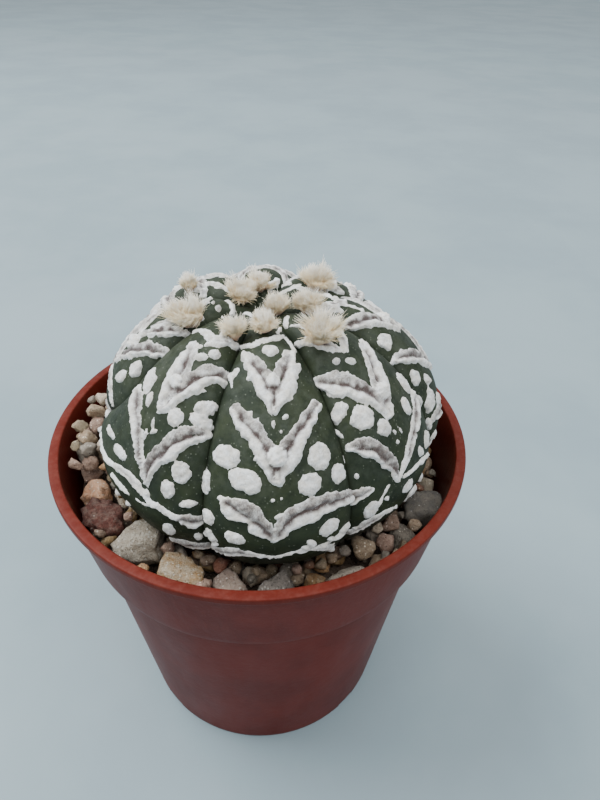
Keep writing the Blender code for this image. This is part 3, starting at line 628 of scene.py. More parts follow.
def feltField(marks, points, side, down, look):
    shift = latticeNoise(points, 1.4, 11) * 0.28 + latticeNoise(points, 0.6, 12) * 0.14
    fray = latticeNoise(points, look["raggedSize"], 13) * look["ragged"]
    fray += latticeNoise(points, look["fraySize"], 14) * look["fray"]
    lump = latticeNoise(points, 0.8, 15)
    fluff = lump * look["lump"] + latticeNoise(points, 0.4, 16) * look["fluff"]
    field = np.full(side.shape, -1e9)
    height = np.full(side.shape, -1e9)
    stain = np.zeros(side.shape)
    age = np.zeros(side.shape)

    def merge(inside, rise, brown, grey):
        nonlocal field, height, stain, age
        taller = (rise > height) & (inside > 0)
        height = np.where(taller, rise, height)
        stain = np.where(taller, brown, stain)
        age = np.where(taller, grey, age)
        field = np.maximum(field, inside)

    for band in marks["bands"]:
        inside, nearest, width, upper, along = bandField(band, side, down)
        inside = inside + fray * np.minimum(width, 1.0)
        middle = np.clip(np.abs(nearest + np.where(upper, -1, 1) * shift), 0, None)
        share = np.clip(middle / np.maximum(width, 0.3), 0, 1)
        bulge = np.sqrt(np.clip(1.0 - (2.0 * share - 1.0) ** 2, 0, 1))
        edge = smoothStep(0.0, look["edge"], inside)
        narrow = smoothStep(0.6, 1.3, width)
        lipHeight = look["thickness"] * np.where(upper, 0.78, 1.12) * (0.55 + 0.45 * narrow)
        rise = edge * lipHeight * (0.5 + 0.5 * np.where(narrow > 0, bulge * narrow + 1 - narrow, 1.0))
        ends = smoothStep(0.02, 0.2, along)
        furrowWidth = look["furrow"] * np.clip(1.0 + 0.7 * lump, 0.35, 2.0)
        furrow = np.exp(-(middle / furrowWidth) ** 2) * narrow * ends
        rise = rise * (1.0 - 0.85 * furrow) + fluff
        brown = furrow * (1.1 + 0.5 * lump)
        brown += np.exp(-(middle / 1.0) ** 2) * narrow * np.clip(lump + 0.2, 0, 1) * 0.5 * upper
        grey = np.where(upper, 1.0, 0.12) * narrow * smoothStep(0.0, 0.4, inside)
        grey = grey * (0.75 + 0.4 * lump) * (0.6 + 0.5 * smoothStep(14.0, 40.0, down))
        merge(inside, rise, np.clip(brown, 0, 1), grey)
    for sideAt, downAt, across, along, turn in marks["spots"]:
        across, along = across * look["spotScale"], along * look["spotScale"]
        angle = math.radians(turn)
        dx = (side - sideAt) * math.cos(angle) + (down - downAt) * math.sin(angle)
        dy = (down - downAt) * math.cos(angle) - (side - sideAt) * math.sin(angle)
        reach = np.hypot(dx / across, dy / along)
        inside = (1.0 - reach) * min(across, along) + fray * min(0.8, min(across, along) * 0.55)
        dome = np.sqrt(np.clip(1.0 - (reach * 0.92) ** 2, 0.02, 1))
        rise = smoothStep(0.0, look["edge"] * 0.8, inside) * look["spotThickness"] * (0.35 + 0.65 * dome)
        merge(inside, rise + fluff, np.clip(lump - 0.5, 0, 1) * 0.25, 0.12 + 0.25 * np.clip(lump, 0, 1))
    for sideAt, downAt, radius in marks["knobs"]:
        reach = np.hypot(side - sideAt, down - downAt) / radius + fray * 0.35
        inside = (1.0 - reach) * radius + fray * 0.3
        rise = 0.35 + radius * 0.62 * np.sqrt(np.clip(1.0 - reach ** 2, 0, 1)) + fluff * 2.4
        # painted shade: the felt just below each knob takes the dark stain colour, standing in for the
        # shade in the hollow under the knob
        offSide = (side - sideAt) / (radius * 0.75)
        offDown = (down - downAt - radius * 1.15) / 0.6
        below = np.exp(-(offSide ** 2 + offDown ** 2))
        stain = np.maximum(stain, np.clip(below * (1.2 + 0.6 * lump), 0, 1) * (inside < 0))
        height = np.where((inside < 0) & (height > 0), height * (1 - 0.7 * below), height)
        merge(inside, rise, np.zeros(side.shape), np.zeros(side.shape))
    return field, np.where(height < -1e8, 0.0, height), stain, age


def shifted(values, row, column):  # the grid moved by a row and a column, edges repeated
    padded = np.pad(values, ((1, 1), (1, 1)) + ((0, 0),) * (values.ndim - 2), mode="edge")
    return padded[1 + row:padded.shape[0] - 1 + row, 1 + column:padded.shape[1] - 1 + column]


def feltMaterial():
    material, tree, shader = newMaterial("felt", 0.95, specularIORLevel=0.15, sheenWeight=0.35,
                                         sheenRoughness=0.6)
    white = useGroup(tree, groups["mottle"], scale=800.0, first=(0.92, 0.925, 0.905),
                     second=(0.78, 0.745, 0.665), third=(0.42, 0.385, 0.34), spread=0.6)
    fibres = noise(tree, place(tree, (1.0, 1.0, 0.45)), 3300.0, 3.0, 0.8)
    aged = calculate(tree, "MULTIPLY", attribute(tree, "age"), 0.95, clamp=True)
    color = mixColors(tree, aged, white["Color"], (0.25, 0.225, 0.20))
    threads = calculate(tree, "MULTIPLY", attribute(tree, "age"), between(tree, fibres, 0.38, 0.62),
                        clamp=True)
    color = mixColors(tree, threads, color, (0.11, 0.09, 0.08))
    # this dark brown is real stain in the band furrows and painted shade below the knobs
    stain = attribute(tree, "stain")
    ragged = calculate(tree, "MULTIPLY", stain, between(tree, fibres, 0.16, 0.46), clamp=True)
    color = mixColors(tree, ragged, color, (0.060, 0.036, 0.030))
    feed(tree, shader.inputs["Base Color"], color)
    grain = useGroup(tree, groups["grain"], scale=2300.0, grit=0.8, pits=0.5)
    roughen(tree, shader, grain["Height"], 0.16, 0.9)
    return material


def buildFelt(marks, look, material):
    bands, spots = marks["bands"], marks["spots"]
    jitter = marks.get("jitter", 0.0)
    if jitter:  # the plain marks, a little different on each rib
        bands = [[(s + rng.normal(0, jitter), d + rng.normal(0, jitter), upper, lower)
                  for s, d, upper, lower in band] for band in bands]
        spots = [(s + rng.normal(0, jitter), d + rng.normal(0, jitter), across * rng.uniform(0.75, 1.25),
                  along * rng.uniform(0.75, 1.25), turn + rng.uniform(-25, 25))
                 for s, d, across, along, turn in spots]
    marks = {**marks, "bands": tuple(bands) + crownFelt[marks["rib"]],
             "spots": tuple(spots) + crownSpots.get(marks["rib"], ())}
    downs = np.arange(look["first"], look["last"], look["rowStep"])
    points, normals, side, down = ribGrid(marks["rib"], downs, look["columns"])
    field, height, stain, age = feltField(marks, points, side, down, look)
    inside = field > 0
    edgeSum = np.zeros(points.shape)
    edgeCount = np.zeros(field.shape)
    for row in (-1, 0, 1):
        for column in (-1, 0, 1):
            if row == 0 and column == 0:
                continue
            otherField = shifted(field, row, column)
            reach = ~inside & (otherField > 0)
            share = np.clip(-np.maximum(field, -50.0) / np.maximum(otherField - field, 1e-6), 0.0, 1.0)
            edgeSum += np.where(reach[..., None], points + (shifted(points, row, column) - points)
                                * share[..., None], 0.0)
            edgeCount += reach
    border = edgeCount > 0
    flat = np.where(border[..., None], edgeSum / np.maximum(edgeCount, 1)[..., None], points)
    lift = np.where(inside, np.maximum(height, 0.02), -look["sink"])
    raised = flat + normals * lift[..., None]
    rows, columns = field.shape
    used = inside | border
    quads = gridFaces(rows, columns)[:, ::-1]
    quads = quads[used.ravel()[quads].all(axis=1) & inside.ravel()[quads].any(axis=1)]
    keep, index = np.unique(quads, return_inverse=True)
    return makePiece(marks["name"], raised.reshape(-1, 3)[keep], [index.reshape(-1, 4)], material,
                     "cactus_skin", stain=stain.ravel()[keep], age=age.ravel()[keep])


# Wool on the areoles: a soft core and many fine curled fibres
woolLook = {
    "fibres": 1700, "locks": 26, "levels": 5, "fibreRadius": 0.065, "curl": 0.34, "core": 0.88,
    "spread": 0.60, "long": 1.4,
}
woolTufts = {  # CAD node: piece, how far it leans out and how tall its fibres stand
    "wool_front": ("woolFront", 0.2, 0.9), "wool_left_front": ("woolFrontLeft", 0.25, 1.0),
    "wool_right_front": ("woolFrontRight", 0.35, 1.05), "wool_right": ("woolRight", 0.2, 1.0),
    "wool_right_back": ("woolBackRight", 0.1, 1.0), "wool_back": ("woolBack", 0.0, 0.9),
    "wool_left_back": ("woolBackLeft", 0.2, 0.9), "wool_left": ("woolLeft", 0.3, 0.95),
    "wool_crown_right": ("woolCrownRight", 0.0, 0.85), "wool_crown_left": ("woolCrownLeft", 0.0, 0.85),
}


def icosphere(detail):
    work = bmesh.new()
    bmesh.ops.create_icosphere(work, subdivisions=detail, radius=1.0)
    points = np.array([v.co for v in work.verts])
    faces = np.array([[v.index for v in f.verts] for f in work.faces])
    work.free()
    return points, faces


balls = {detail: icosphere(detail) for detail in (2, 3, 4)}


def woolMaterial():
    material, tree, shader = newMaterial("wool", 0.9, specularIORLevel=0.2, sheenWeight=0.5,
                                         sheenRoughness=0.5)
    cream = useGroup(tree, groups["mottle"], scale=1400.0, first=(0.97, 0.86, 0.60),
                     second=(0.94, 0.76, 0.44), third=(0.80, 0.52, 0.25), spread=0.45)
    tip = between(tree, attribute(tree, "tip"), 0.16, 0.70)
    rooty = mixColors(tree, tip, (0.40, 0.20, 0.09), cream["Color"])
    ends = between(tree, attribute(tree, "tip"), 0.65, 1.1)
    feed(tree, shader.inputs["Base Color"], mixColors(tree, ends, rooty, (0.97, 0.94, 0.86)))
    grain = useGroup(tree, groups["grain"], scale=2600.0, grit=0.8, pits=0.4)
    roughen(tree, shader, grain["Height"], 0.1, 0.7)
    return material


def buildWool(node, look, material):
    name, lean, stand = woolTufts[node]
    middle, half = nodeBox(node)
    crown = np.array([*plantShape["crown"], middle[2]])
    outward = unit((middle - crown) * np.array([1, 1, 0]))
    axis = unit(np.array([0, 0, 1.0]) + outward * lean)
    sphere, faces = balls[3]
    lumpy = 1.0 + 0.16 * latticeNoise(sphere * 2.0 + middle, 0.9, 21)[:, None]
    taper = 0.62 + 0.5 * smoothStep(-1.0, 0.5, sphere[:, 2:3])
    core = middle - axis * half[2] * 0.15 + sphere * half * look["core"] * lumpy * np.c_[taper, taper,
                                                                                       np.ones(len(sphere))]
    count = look["fibres"]
    start = unit(rng.normal(size=(count, 3)))
    start[:, 2] = np.abs(start[:, 2]) * 0.9 + rng.uniform(-0.45, 0.1, count)
    start = unit(start)
    narrow = 0.62 + 0.5 * smoothStep(-1.0, 0.5, start[:, 2:3])
    root = middle - axis * half[2] * 0.15 + start * half * look["core"] * 0.85 * np.c_[narrow, narrow,
                                                                                       np.ones(count)]
    lockOf = np.argmax(start @ unit(rng.normal(size=(look["locks"], 3)) + [0, 0, 0.4]).T, axis=1)
    lockAim, lockBend = rng.normal(0, 0.3, (2, look["locks"], 3))
    aim = unit(start * look["spread"] * rng.uniform(0.8, 1.3, (count, 1)) + axis
               + lockAim[lockOf] + rng.normal(0, 0.12, (count, 3)))
    length = half.mean() * look["long"] * stand * rng.uniform(0.55, 1.0, (count, 1))
    length *= rng.uniform(0.72, 1.05, look["locks"])[lockOf][:, None]
    bend = (lockBend[lockOf] + rng.normal(0, 0.14, (count, 3))) * look["curl"] * 2.2
    turn = rng.uniform(0, fullTurn, count)
    t = np.linspace(0, 1, look["levels"])
    coil = turn[:, None] + t * 4
    swirl = np.stack([np.cos(coil), np.sin(coil), 0 * coil], -1)
    line = (root[:, None] + aim[:, None] * length[:, None] * t[None, :, None]
            + bend[:, None] * length[:, None] * (t ** 2)[None, :, None] + swirl * 0.12 * t[None, :, None])
    line[..., 2] = np.maximum(line[..., 2], middle[2] - half[2] + 0.3)
    over = unit(np.cross(aim, rng.normal(size=(count, 3))))
    across = unit(np.cross(aim, over))
    radius = look["fibreRadius"] * (1.0 - 0.75 * t)
    corners = []
    for step in range(3):
        angle = step * fullTurn / 3
        corners.append(line + (over[:, None] * math.cos(angle) + across[:, None] * math.sin(angle))
                       * radius[None, :, None])
    tubes = np.stack(corners, 2)  # fibre, level, corner
    levels = look["levels"]
    base = gridFaces(levels, 3, wrap=True)
    quads = (base[None] + (np.arange(count) * levels * 3)[:, None, None]).reshape(-1, 4) + len(core)
    tops = (np.array([[levels * 3 - 3, levels * 3 - 2, levels * 3 - 1]])
            + (np.arange(count) * levels * 3)[:, None] + len(core))
    points = np.concatenate([core, tubes.reshape(-1, 3)])
    coreTip = np.clip((core - middle) @ axis / half[2] * 0.5 + 0.42, 0, 1)
    fibreTip = np.repeat(np.clip(0.25 + 0.3 * start[:, 2:3] + 0.6 * t[None], 0, 1).reshape(-1), 3)
    return makePiece(name, points, [faces, quads, tops], material, "wool", replaces=[node],
                     tip=np.concatenate([coreTip, fibreTip]))


# Stones: broken faces of a many-sided block, softened and roughened
stoneLook = {
    "planes": 13, "sharp": 24.0, "depth": (0.64, 1.0), "rough": 0.09, "roughSize": 0.42, "fine": 0.042,
    "fineSize": 0.15, "pits": 0.14, "pitSize": 0.22, "swell": 1.06,
}


def rockPoints(detail, look, rough):  # a stone that fills a box two wide on each side
    sphere, faces = balls[detail]
    facing = unit(rng.normal(size=(look["planes"], 3)))
    depth = rng.uniform(*look["depth"], look["planes"])
    towards = np.clip(sphere @ facing.T, 1e-3, None) / depth
    radius = (np.sum(towards ** look["sharp"], axis=1)) ** (-1.0 / look["sharp"])
    shift = rng.uniform(-90, 90, 3)
    points = sphere * np.minimum(radius, 1.5)[:, None]
    points *= 1.0 + rough * look["rough"] * latticeNoise(points + shift, look["roughSize"], 31)[:, None]
    if detail > 2:
        points *= 1.0 + rough * look["fine"] * latticeNoise(points + shift, look["fineSize"], 32)[:, None]
    if rough > 2:  # porous
        pits = smoothStep(0.15, 0.6, latticeNoise(points + shift, look["pitSize"], 33))
        points *= 1.0 - look["pits"] * pits[:, None]
    points -= (points.max(0) + points.min(0)) / 2
    return points / ((points.max(0) - points.min(0)) / 2), faces


def stoneMaterial(name, first, second, third, speck, amount, scale=420.0, bump=0.22, tone=0.0):
    roughness = 0.82
    material, tree, shader = newMaterial(name, roughness, specularIORLevel=0.3)
    dark = tuple(0.55 * c for c in second)
    body = useGroup(tree, groups["mottle"], scale=scale, first=first, second=second, third=third,
                    spread=0.75)
    veins = useGroup(tree, groups["mottle"], scale=scale * 2.3, first=body["Color"], second=body["Color"],
                     third=dark, spread=0.6)
    grains = useGroup(tree, groups["specks"], base=veins["Color"], speck=speck, scale=1900.0,
                      amount=amount * 0.7)
    color = useGroup(tree, groups["specks"], base=grains["Color"], speck=dark, scale=2600.0,
                     amount=0.16)["Color"]
    if tone:
        lightness = attribute(tree, "tone")
        color = useGroup(tree, groups["tone"], base=color, tone=lightness, range=tone)["Color"]
    dusty = useGroup(tree, groups["dust"], base=color, dust=(0.40, 0.34, 0.27), scale=700.0, amount=0.22)
    feed(tree, shader.inputs["Base Color"], dusty["Color"])
    worn = calculate(tree, "MULTIPLY_ADD", grains["Mask"], -0.2, roughness)
    feed(tree, shader.inputs["Roughness"], worn)
    grain = useGroup(tree, groups["grain"], scale=1300.0, grit=0.8, pits=0.7)
    roughen(tree, shader, grain["Height"], bump * 1.7, 1.0)
    return material


stoneKinds = {  # three body colors, speck color, share of specks
    "Sand": ((0.40, 0.305, 0.20), (0.28, 0.20, 0.125), (0.54, 0.44, 0.31), (0.68, 0.60, 0.47), 0.2),
    "Rose": ((0.34, 0.23, 0.165), (0.24, 0.155, 0.11), (0.47, 0.35, 0.27), (0.6, 0.49, 0.40), 0.2),
    "Grey": ((0.25, 0.215, 0.17), (0.165, 0.14, 0.11), (0.36, 0.32, 0.26), (0.52, 0.48, 0.40), 0.25),
    "Ochre": ((0.34, 0.20, 0.085), (0.24, 0.135, 0.055), (0.46, 0.33, 0.19), (0.56, 0.46, 0.32), 0.14),
    "Rust": ((0.23, 0.105, 0.06), (0.155, 0.065, 0.038), (0.33, 0.19, 0.125), (0.46, 0.35, 0.26), 0.1),
    "Pale": ((0.56, 0.47, 0.35), (0.44, 0.36, 0.26), (0.66, 0.58, 0.46), (0.76, 0.70, 0.59), 0.15),
}
topStones = {  # CAD node: piece, roughness, three body colors, speck color, share of specks
    "stone_speckled": ("stoneSpeckled", 1.5, ((0.42, 0.37, 0.29), (0.30, 0.25, 0.185), (0.58, 0.54, 0.45)),
                       (0.60, 0.57, 0.5), 0.34),
    "stone_dark": ("stoneDark", 1.0, ((0.15, 0.14, 0.125), (0.215, 0.19, 0.155), (0.095, 0.09, 0.085)),
                   (0.42, 0.41, 0.39), 0.1),
    "stone_scoria": ("stoneScoria", 2.1, ((0.125, 0.04, 0.028), (0.075, 0.026, 0.019), (0.2, 0.085, 0.06)),
                     (0.3, 0.22, 0.18), 0.06),
    "stone_orange": ("stoneOrange", 1.2, ((0.60, 0.34, 0.20), (0.50, 0.255, 0.14), (0.72, 0.53, 0.38)),
                     (0.66, 0.55, 0.45), 0.15),
    "stone_tan": ("stoneTan", 1.2, ((0.44, 0.35, 0.24), (0.36, 0.215, 0.09), (0.60, 0.54, 0.43)),
                  (0.62, 0.56, 0.46), 0.2),
    "stone_pink": ("stonePink", 1.6, ((0.42, 0.32, 0.25), (0.33, 0.24, 0.19), (0.52, 0.43, 0.36)),
                   (0.64, 0.56, 0.48), 0.22),
    "stone_grey": ("stoneGrey", 1.3, ((0.28, 0.245, 0.21), (0.21, 0.18, 0.155), (0.37, 0.33, 0.29)),
                   (0.55, 0.5, 0.44), 0.28),
    "stone_cream": ("stoneCream", 1.0, ((0.52, 0.45, 0.36), (0.44, 0.37, 0.29), (0.6, 0.54, 0.46)),
                    (0.7, 0.66, 0.58), 0.15),
    "stone_ochre": ("stoneOchre", 0.9, ((0.36, 0.22, 0.10), (0.27, 0.155, 0.07), (0.46, 0.33, 0.19)),
                    (0.6, 0.5, 0.36), 0.12),
}
stoneSwell = {  # size against its CAD solid, where it isn't the common one
    "stone_speckled": 1.24, "stone_tan": 1.12, "stone_dark": 1.32, "stone_cream": 1.25,
    "stone_scoria": 1.38, "stone_grey": 1.08, "stone_pink": 1.1, "stone_orange": 1.12,
}


def stoneBox(node):
    middle, half = nodeBox(node)
    return middle, half * stoneSwell.get(node, stoneLook["swell"])


def buildStone(node, name, material, slot, detail, rough):
    middle, half = stoneBox(node)
    points, faces = rockPoints(detail, stoneLook, rough)
    return makePiece(name, middle + points * half, [faces], material, slot, replaces=[node],
                     tone=np.full(len(points), rng.uniform(0.35, 0.85)))


def buildTopStones(kindMaterials):
    for node, (name, rough, colors, speck, amount) in topStones.items():
        material = stoneMaterial(name, *colors, speck=speck, amount=amount, scale=380.0,
                                 bump=0.22 + 0.06 * rough)
        buildStone(node, name, material, node.replace("stone_", "pebble_"), 4, rough)
    plain = sorted(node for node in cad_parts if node.startswith("stone_") and node[-1].isdigit())
    order = ("Rose", "Sand", "Grey", "Sand", "Ochre", "Rose", "Sand", "Pale", "Grey", "Sand")
    for number, node in enumerate(plain):
        kind = order[number % len(order)]
        buildStone(node, f"stone{kind}{number + 1:02d}", kindMaterials[kind], "pebble", 3, 1.3)


# Small gravel, dropped stone by stone into the gap between the plant and the wall
gravelLook = {
    "count": 1000, "tries": 18, "cell": 0.4, "reach": 42.0, "inner": 23.5, "outer": 39.5, "bedEdge": 39.0,
    "small": 0.95, "large": 2.7, "wallGap": 0.12, "skinGap": 0.5, "fineUnder": 1.25,
    "level": 70.8, "fall": 0.088, "bedFall": 0.058, "heap": 5.0, "heapAt": 2.9, "heapWide": 0.52,
}
gravelShares = {"Sand": 0.28, "Rose": 0.2, "Grey": 0.17, "Ochre": 0.14, "Rust": 0.1, "Pale": 0.11}


def mouthRadius(height):  # inner radius of the pot at a height
    return np.interp(height, (30.0, 55.0, 57.0, potTop), (33.0, 36.1, 38.15, 40.5))


def plantUnderside(look, gx, gy):  # height of the skin above each cell of the grid
    ceiling = np.full(gx.shape, 1e3)
    downs = np.arange(24.0, crestLength[-1], 0.3)
    for rib in range(ribCount):
        skin = ribGrid(rib, downs, 91)[0].reshape(-1, 3)
        ix = np.round((skin[:, 0] + look["reach"]) / look["cell"]).astype(int)
        iy = np.round((skin[:, 1] + look["reach"]) / look["cell"]).astype(int)
        np.minimum.at(ceiling, (ix, iy), skin[:, 2])
    for _ in range(2):  # closes gaps between the samples
        around = np.stack([shifted(ceiling, r, c) for r in (-1, 0, 1) for c in (-1, 0, 1)])
        ceiling = np.where(ceiling > 900, around.min(0), ceiling)
    return ceiling


def stonyGround(look, gx, gy):  # top of bed and larger stones, and the ground kept free of gravel
    bedLow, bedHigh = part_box("gravel_bed")
    bedTop = (bedHigh[2] - potFoot[2]) / mm - look["bedFall"] * (gx + (bedHigh[0] - bedLow[0]) / 2 / mm)
    floor = np.where(np.hypot(gx, gy) < look["bedEdge"], bedTop - 0.4, 200.0)
    kept = np.zeros(gx.shape, dtype=bool)
    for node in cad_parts:
        if not node.startswith("stone_"):
            continue
        middle, half = stoneBox(node)
        share = 1.0 - ((gx - middle[0]) / half[0]) ** 2 - ((gy - middle[1]) / half[1]) ** 2
        stoneTop = middle[2] + half[2] * np.sqrt(np.maximum(share, 0)) * 0.9
        floor = np.where(share > 0, np.maximum(floor, stoneTop), floor)
        kept |= (share > 0.12) & (node in topStones)
    return floor, kept


def buildGravel(look, kindMaterials):
    cell, reach = look["cell"], look["reach"]
    axis = np.arange(-reach, reach + cell, cell)
    gx, gy = np.meshgrid(axis, axis, indexing="ij")
    ceiling = plantUnderside(look, gx, gy)
    floor, kept = stonyGround(look, gx, gy)

    def lowestRest(radius, squash):  # where a stone lies lowest of the places tried
        best = None
        angles = rng.uniform(0, fullTurn, look["tries"])
        spans = rng.uniform(look["inner"], look["outer"], look["tries"])
        for angle, span in zip(angles, spans):
            x, y = span * math.cos(angle), span * math.sin(angle)
            heap = look["heap"] * math.exp(-((angle - look["heapAt"]) / look["heapWide"]) ** 2)
            level = look["level"] - look["fall"] * (x + 36.0) + heap * smoothStep(31.0, 36.0, span)
            if span + radius * 0.9 > mouthRadius(level) - look["wallGap"]:
                continue
            near = int(radius / cell) + 1
            i, j = int(round((x + reach) / cell)), int(round((y + reach) / cell))
            window = (slice(i - near, i + near + 1), slice(j - near, j + near + 1))
            off = np.hypot(gx[window] - x, gy[window] - y)
            inside = off < radius
            bulge = np.sqrt(np.maximum(radius ** 2 - off ** 2, 0)) * squash
            z = np.max(np.where(inside, floor[window] + bulge * 0.72, -1e3))
            if np.any(inside & kept[window]) or z > level:
                continue
            if np.any(inside & (z + bulge > ceiling[window] - look["skinGap"])):
                continue
            if best is None or z < best[0]:
                best = (z, x, y, window, inside, bulge)
        return best

    kinds = list(gravelShares)
    chances = np.array(list(gravelShares.values()))
    heaps = {kind: [[], [], []] for kind in kinds}
    placed = 0
    for number in range(look["count"]):
        left = 1.0 - number / look["count"]
        radius = look["small"] + (look["large"] - look["small"]) * left ** 1.3 * rng.uniform(0.55, 1.0)
        radius = max(radius, look["small"] * rng.uniform(0.8, 1.15))
        squash = rng.uniform(0.7, 0.95)
        best = lowestRest(radius, squash)
        if best is None:
            continue
        z, x, y, window, inside, bulge = best
        floor[window] = np.where(inside, np.maximum(floor[window], z + bulge * 0.9), floor[window])
        points, faces = rockPoints(3 if radius > look["fineUnder"] else 2, stoneLook, 1.5)
        turn = rng.uniform(0, fullTurn)
        shape = radius * np.array([rng.uniform(0.85, 1.12), rng.uniform(0.85, 1.12), squash])
        c, s = math.cos(turn), math.sin(turn)
        spin = np.array([[c, s, 0], [-s, c, 0], [0, 0, 1]])
        vertices, triangles, tones = heaps[kinds[rng.choice(len(kinds), p=chances / chances.sum())]]
        triangles.append(faces + sum(len(block) for block in vertices))
        vertices.append(points * shape @ spin + np.array([x, y, z]))
        tones.append(np.full(len(points), rng.uniform()))
        placed += 1
    for kind, (vertices, triangles, tones) in heaps.items():
        makePiece("gravel" + kind, np.concatenate(vertices), [np.concatenate(triangles)],
                  kindMaterials[kind], "gravel", tone=np.concatenate(tones))
    return placed


def gritMaterial():
    material, tree, shader = newMaterial("grit", 0.95, specularIORLevel=0.2)
    body = useGroup(tree, groups["mottle"], scale=650.0, first=(0.10, 0.07, 0.05),
                    second=(0.055, 0.038, 0.028), third=(0.17, 0.13, 0.095), spread=0.8)
    grains = useGroup(tree, groups["specks"], base=body["Color"], speck=(0.34, 0.27, 0.2), scale=900.0,
                      amount=0.35)
    feed(tree, shader.inputs["Base Color"], grains["Color"])
    grain = useGroup(tree, groups["grain"], scale=900.0, grit=0.9, pits=0.8)
    roughen(tree, shader, grain["Height"], 0.6, 1.0)
    return material


# The pot: thin moulded plastic with a collar, a lip, drain holes and foot notches
potLook = {
    "segments": 264, "row": 1.1, "wall": 0.9, "floor": 1.2, "recess": 2.0, "footRadius": 30.8,
    "footInner": 27.2, "collarFoot": 56.0, "collarFootRadius": 38.9, "wallTop": 37.1, "lip": 1.5,
    "mouth": 40.5,
    "holes": 6, "holeRadius": 3.0, "holeRing": 19.0, "holeTurn": 7.0, "notches": 4, "notchWidth": 5.0,
    "notchHeight": 1.2, "wobble": 0.06,
    "red": (0.102, 0.0115, 0.0062), "dark": (0.080, 0.0086, 0.0046), "worn": (0.135, 0.022, 0.014),
}


def potProfile(look):  # radius and height, outside from the foot's middle, over the lip and back down
    lipRadius = (potHigh[0] - potLow[0]) / 2 / mm
    lipFoot = potTop - look["lip"]
    floorTop = look["recess"] + look["floor"]

    def wallAt(height):
        return look["footRadius"] + (look["wallTop"] - look["footRadius"]) * height / look["collarFoot"]

    def rounded(middle, radius, first, last, steps=5):
        return [(middle[0] + radius * math.cos(a), middle[1] + radius * math.sin(a))
                for a in np.radians(np.linspace(first, last, steps))]

    corner, lipEdge, foot = 0.45, 0.32, 0.5
    outline = [(0.0, look["recess"]), (look["footInner"] * 0.5, look["recess"]),
               (look["footInner"] - 0.6, look["recess"]), (look["footInner"], 0.6)]
    outline += rounded((look["footInner"] + foot, foot), foot, 180, 270)
    outline += rounded((look["footRadius"] - foot, foot), foot, 270, 350)
    outline += [(wallAt(look["collarFoot"] - 0.7), look["collarFoot"] - 0.7)]
    outline += [(wallAt(look["collarFoot"]) + 0.35, look["collarFoot"] - 0.18)]
    outline += rounded((look["collarFootRadius"] - corner, look["collarFoot"] + corner), corner, 280, 355)
    collarTop = look["mouth"] + look["wall"]
    outline += [(collarTop, lipFoot - 0.6), (collarTop + 0.25, lipFoot - 0.22)]
    outline += rounded((lipRadius - lipEdge, lipFoot + lipEdge), lipEdge, 275, 360)
    outline += rounded((lipRadius - lipEdge, potTop - lipEdge), lipEdge, 0, 88)
    outline += rounded((look["mouth"] + 0.35, potTop - 0.35), 0.35, 92, 180)
    outline += [(float(mouthRadius(66.0)), 66.0), (float(mouthRadius(57.2)), 57.2)]
    outline += [(wallAt(height) - look["wall"], height) for height in (55.0, floorTop + 0.7)]
    outline += [(wallAt(floorTop) - look["wall"] - 0.7, floorTop), (look["footInner"] * 0.5, floorTop),
                (0.0, floorTop)]
    return outline


def potMaterial(look):
    material, tree, shader = newMaterial("potPlastic", 0.42, specularIORLevel=0.09)
    spot = place(tree)
    body = useGroup(tree, groups["mottle"], scale=55.0, first=look["red"], second=look["dark"],
                    third=look["worn"], spread=0.25)
    height = addNode(tree, "SeparateXYZ", {"Vector": spot}).outputs["Z"]
    streaks = noise(tree, place(tree, (1.0, 1.0, 0.1)), 900.0, 4.0, 0.7)
    collar = between(tree, height, look["collarFoot"] * mm - 0.0005, look["collarFoot"] * mm + 0.0015)
    streaky = calculate(tree, "MULTIPLY", between(tree, streaks, 0.5, 0.74), 0.4)
    color = mixColors(tree, calculate(tree, "MULTIPLY", streaky, collar), body["Color"], look["worn"])
    lipWear = between(tree, height, (potTop - 2.2) * mm, (potTop - 0.4) * mm)
    chalky = between(tree, noise(tree, spot, 260.0, 5.0, 0.75), 0.42, 0.7)
    chalk = calculate(tree, "MULTIPLY", lipWear, calculate(tree, "MULTIPLY_ADD", chalky, 0.3, 0.1))
    color = mixColors(tree, chalk, color, (0.145, 0.032, 0.020))
    scratch = noise(tree, place(tree, (1.0, 1.0, 0.55)), 210.0, 6.0, 0.85)
    scuffed = between(tree, scratch, 0.665, 0.72)
    color = mixColors(tree, calculate(tree, "MULTIPLY", scuffed, 0.25), color, (0.42, 0.24, 0.19))
    # painted shade: the inside of the pot, from a little below the lip down to its floor, is darkened to
    # stand in for the shade within the mouth
    inner = calculate(tree, "MULTIPLY", attribute(tree, "inner"), 0.55)
    color = mixColors(tree, inner, color, (0.035, 0.005, 0.003))
    dusty = useGroup(tree, groups["dust"], base=color, dust=(0.20, 0.09, 0.07), scale=900.0, amount=0.12)
    feed(tree, shader.inputs["Base Color"], dusty["Color"])
    smear = noise(tree, place(tree, (1.0, 1.0, 0.3)), 120.0, 4.0, 0.6)
    rough = calculate(tree, "MULTIPLY_ADD", smear, 0.22, 0.30)
    feed(tree, shader.inputs["Roughness"], calculate(tree, "MULTIPLY_ADD", dusty["Mask"], 0.25, rough))
    grain = useGroup(tree, groups["grain"], scale=520.0, grit=0.35, pits=0.1)
    ridges = calculate(tree, "MULTIPLY", streaks, collar)
    roughen(tree, shader, calculate(tree, "MULTIPLY_ADD", ridges, 1.2, grain["Height"]), 0.06, 0.7)
    return material


def cutAway(piece, points, faces):  # takes a closed block out of the piece
    mesh = bpy.data.meshes.new("cutter")
    mesh.from_pydata([tuple(p) for p in toMetres(points)], [], [tuple(f) for f in faces])
    cutter = bpy.data.objects.new("cutter", mesh)
    bpy.context.collection.objects.link(cutter)
    work = piece.modifiers.new("cut", "BOOLEAN")
    work.operation, work.solver, work.object = "DIFFERENCE", "EXACT", cutter
    depsgraph = bpy.context.evaluated_depsgraph_get()
    result = bpy.data.meshes.new_from_object(piece.evaluated_get(depsgraph))
    piece.modifiers.clear()
    piece.data = result
    bpy.data.objects.remove(cutter)


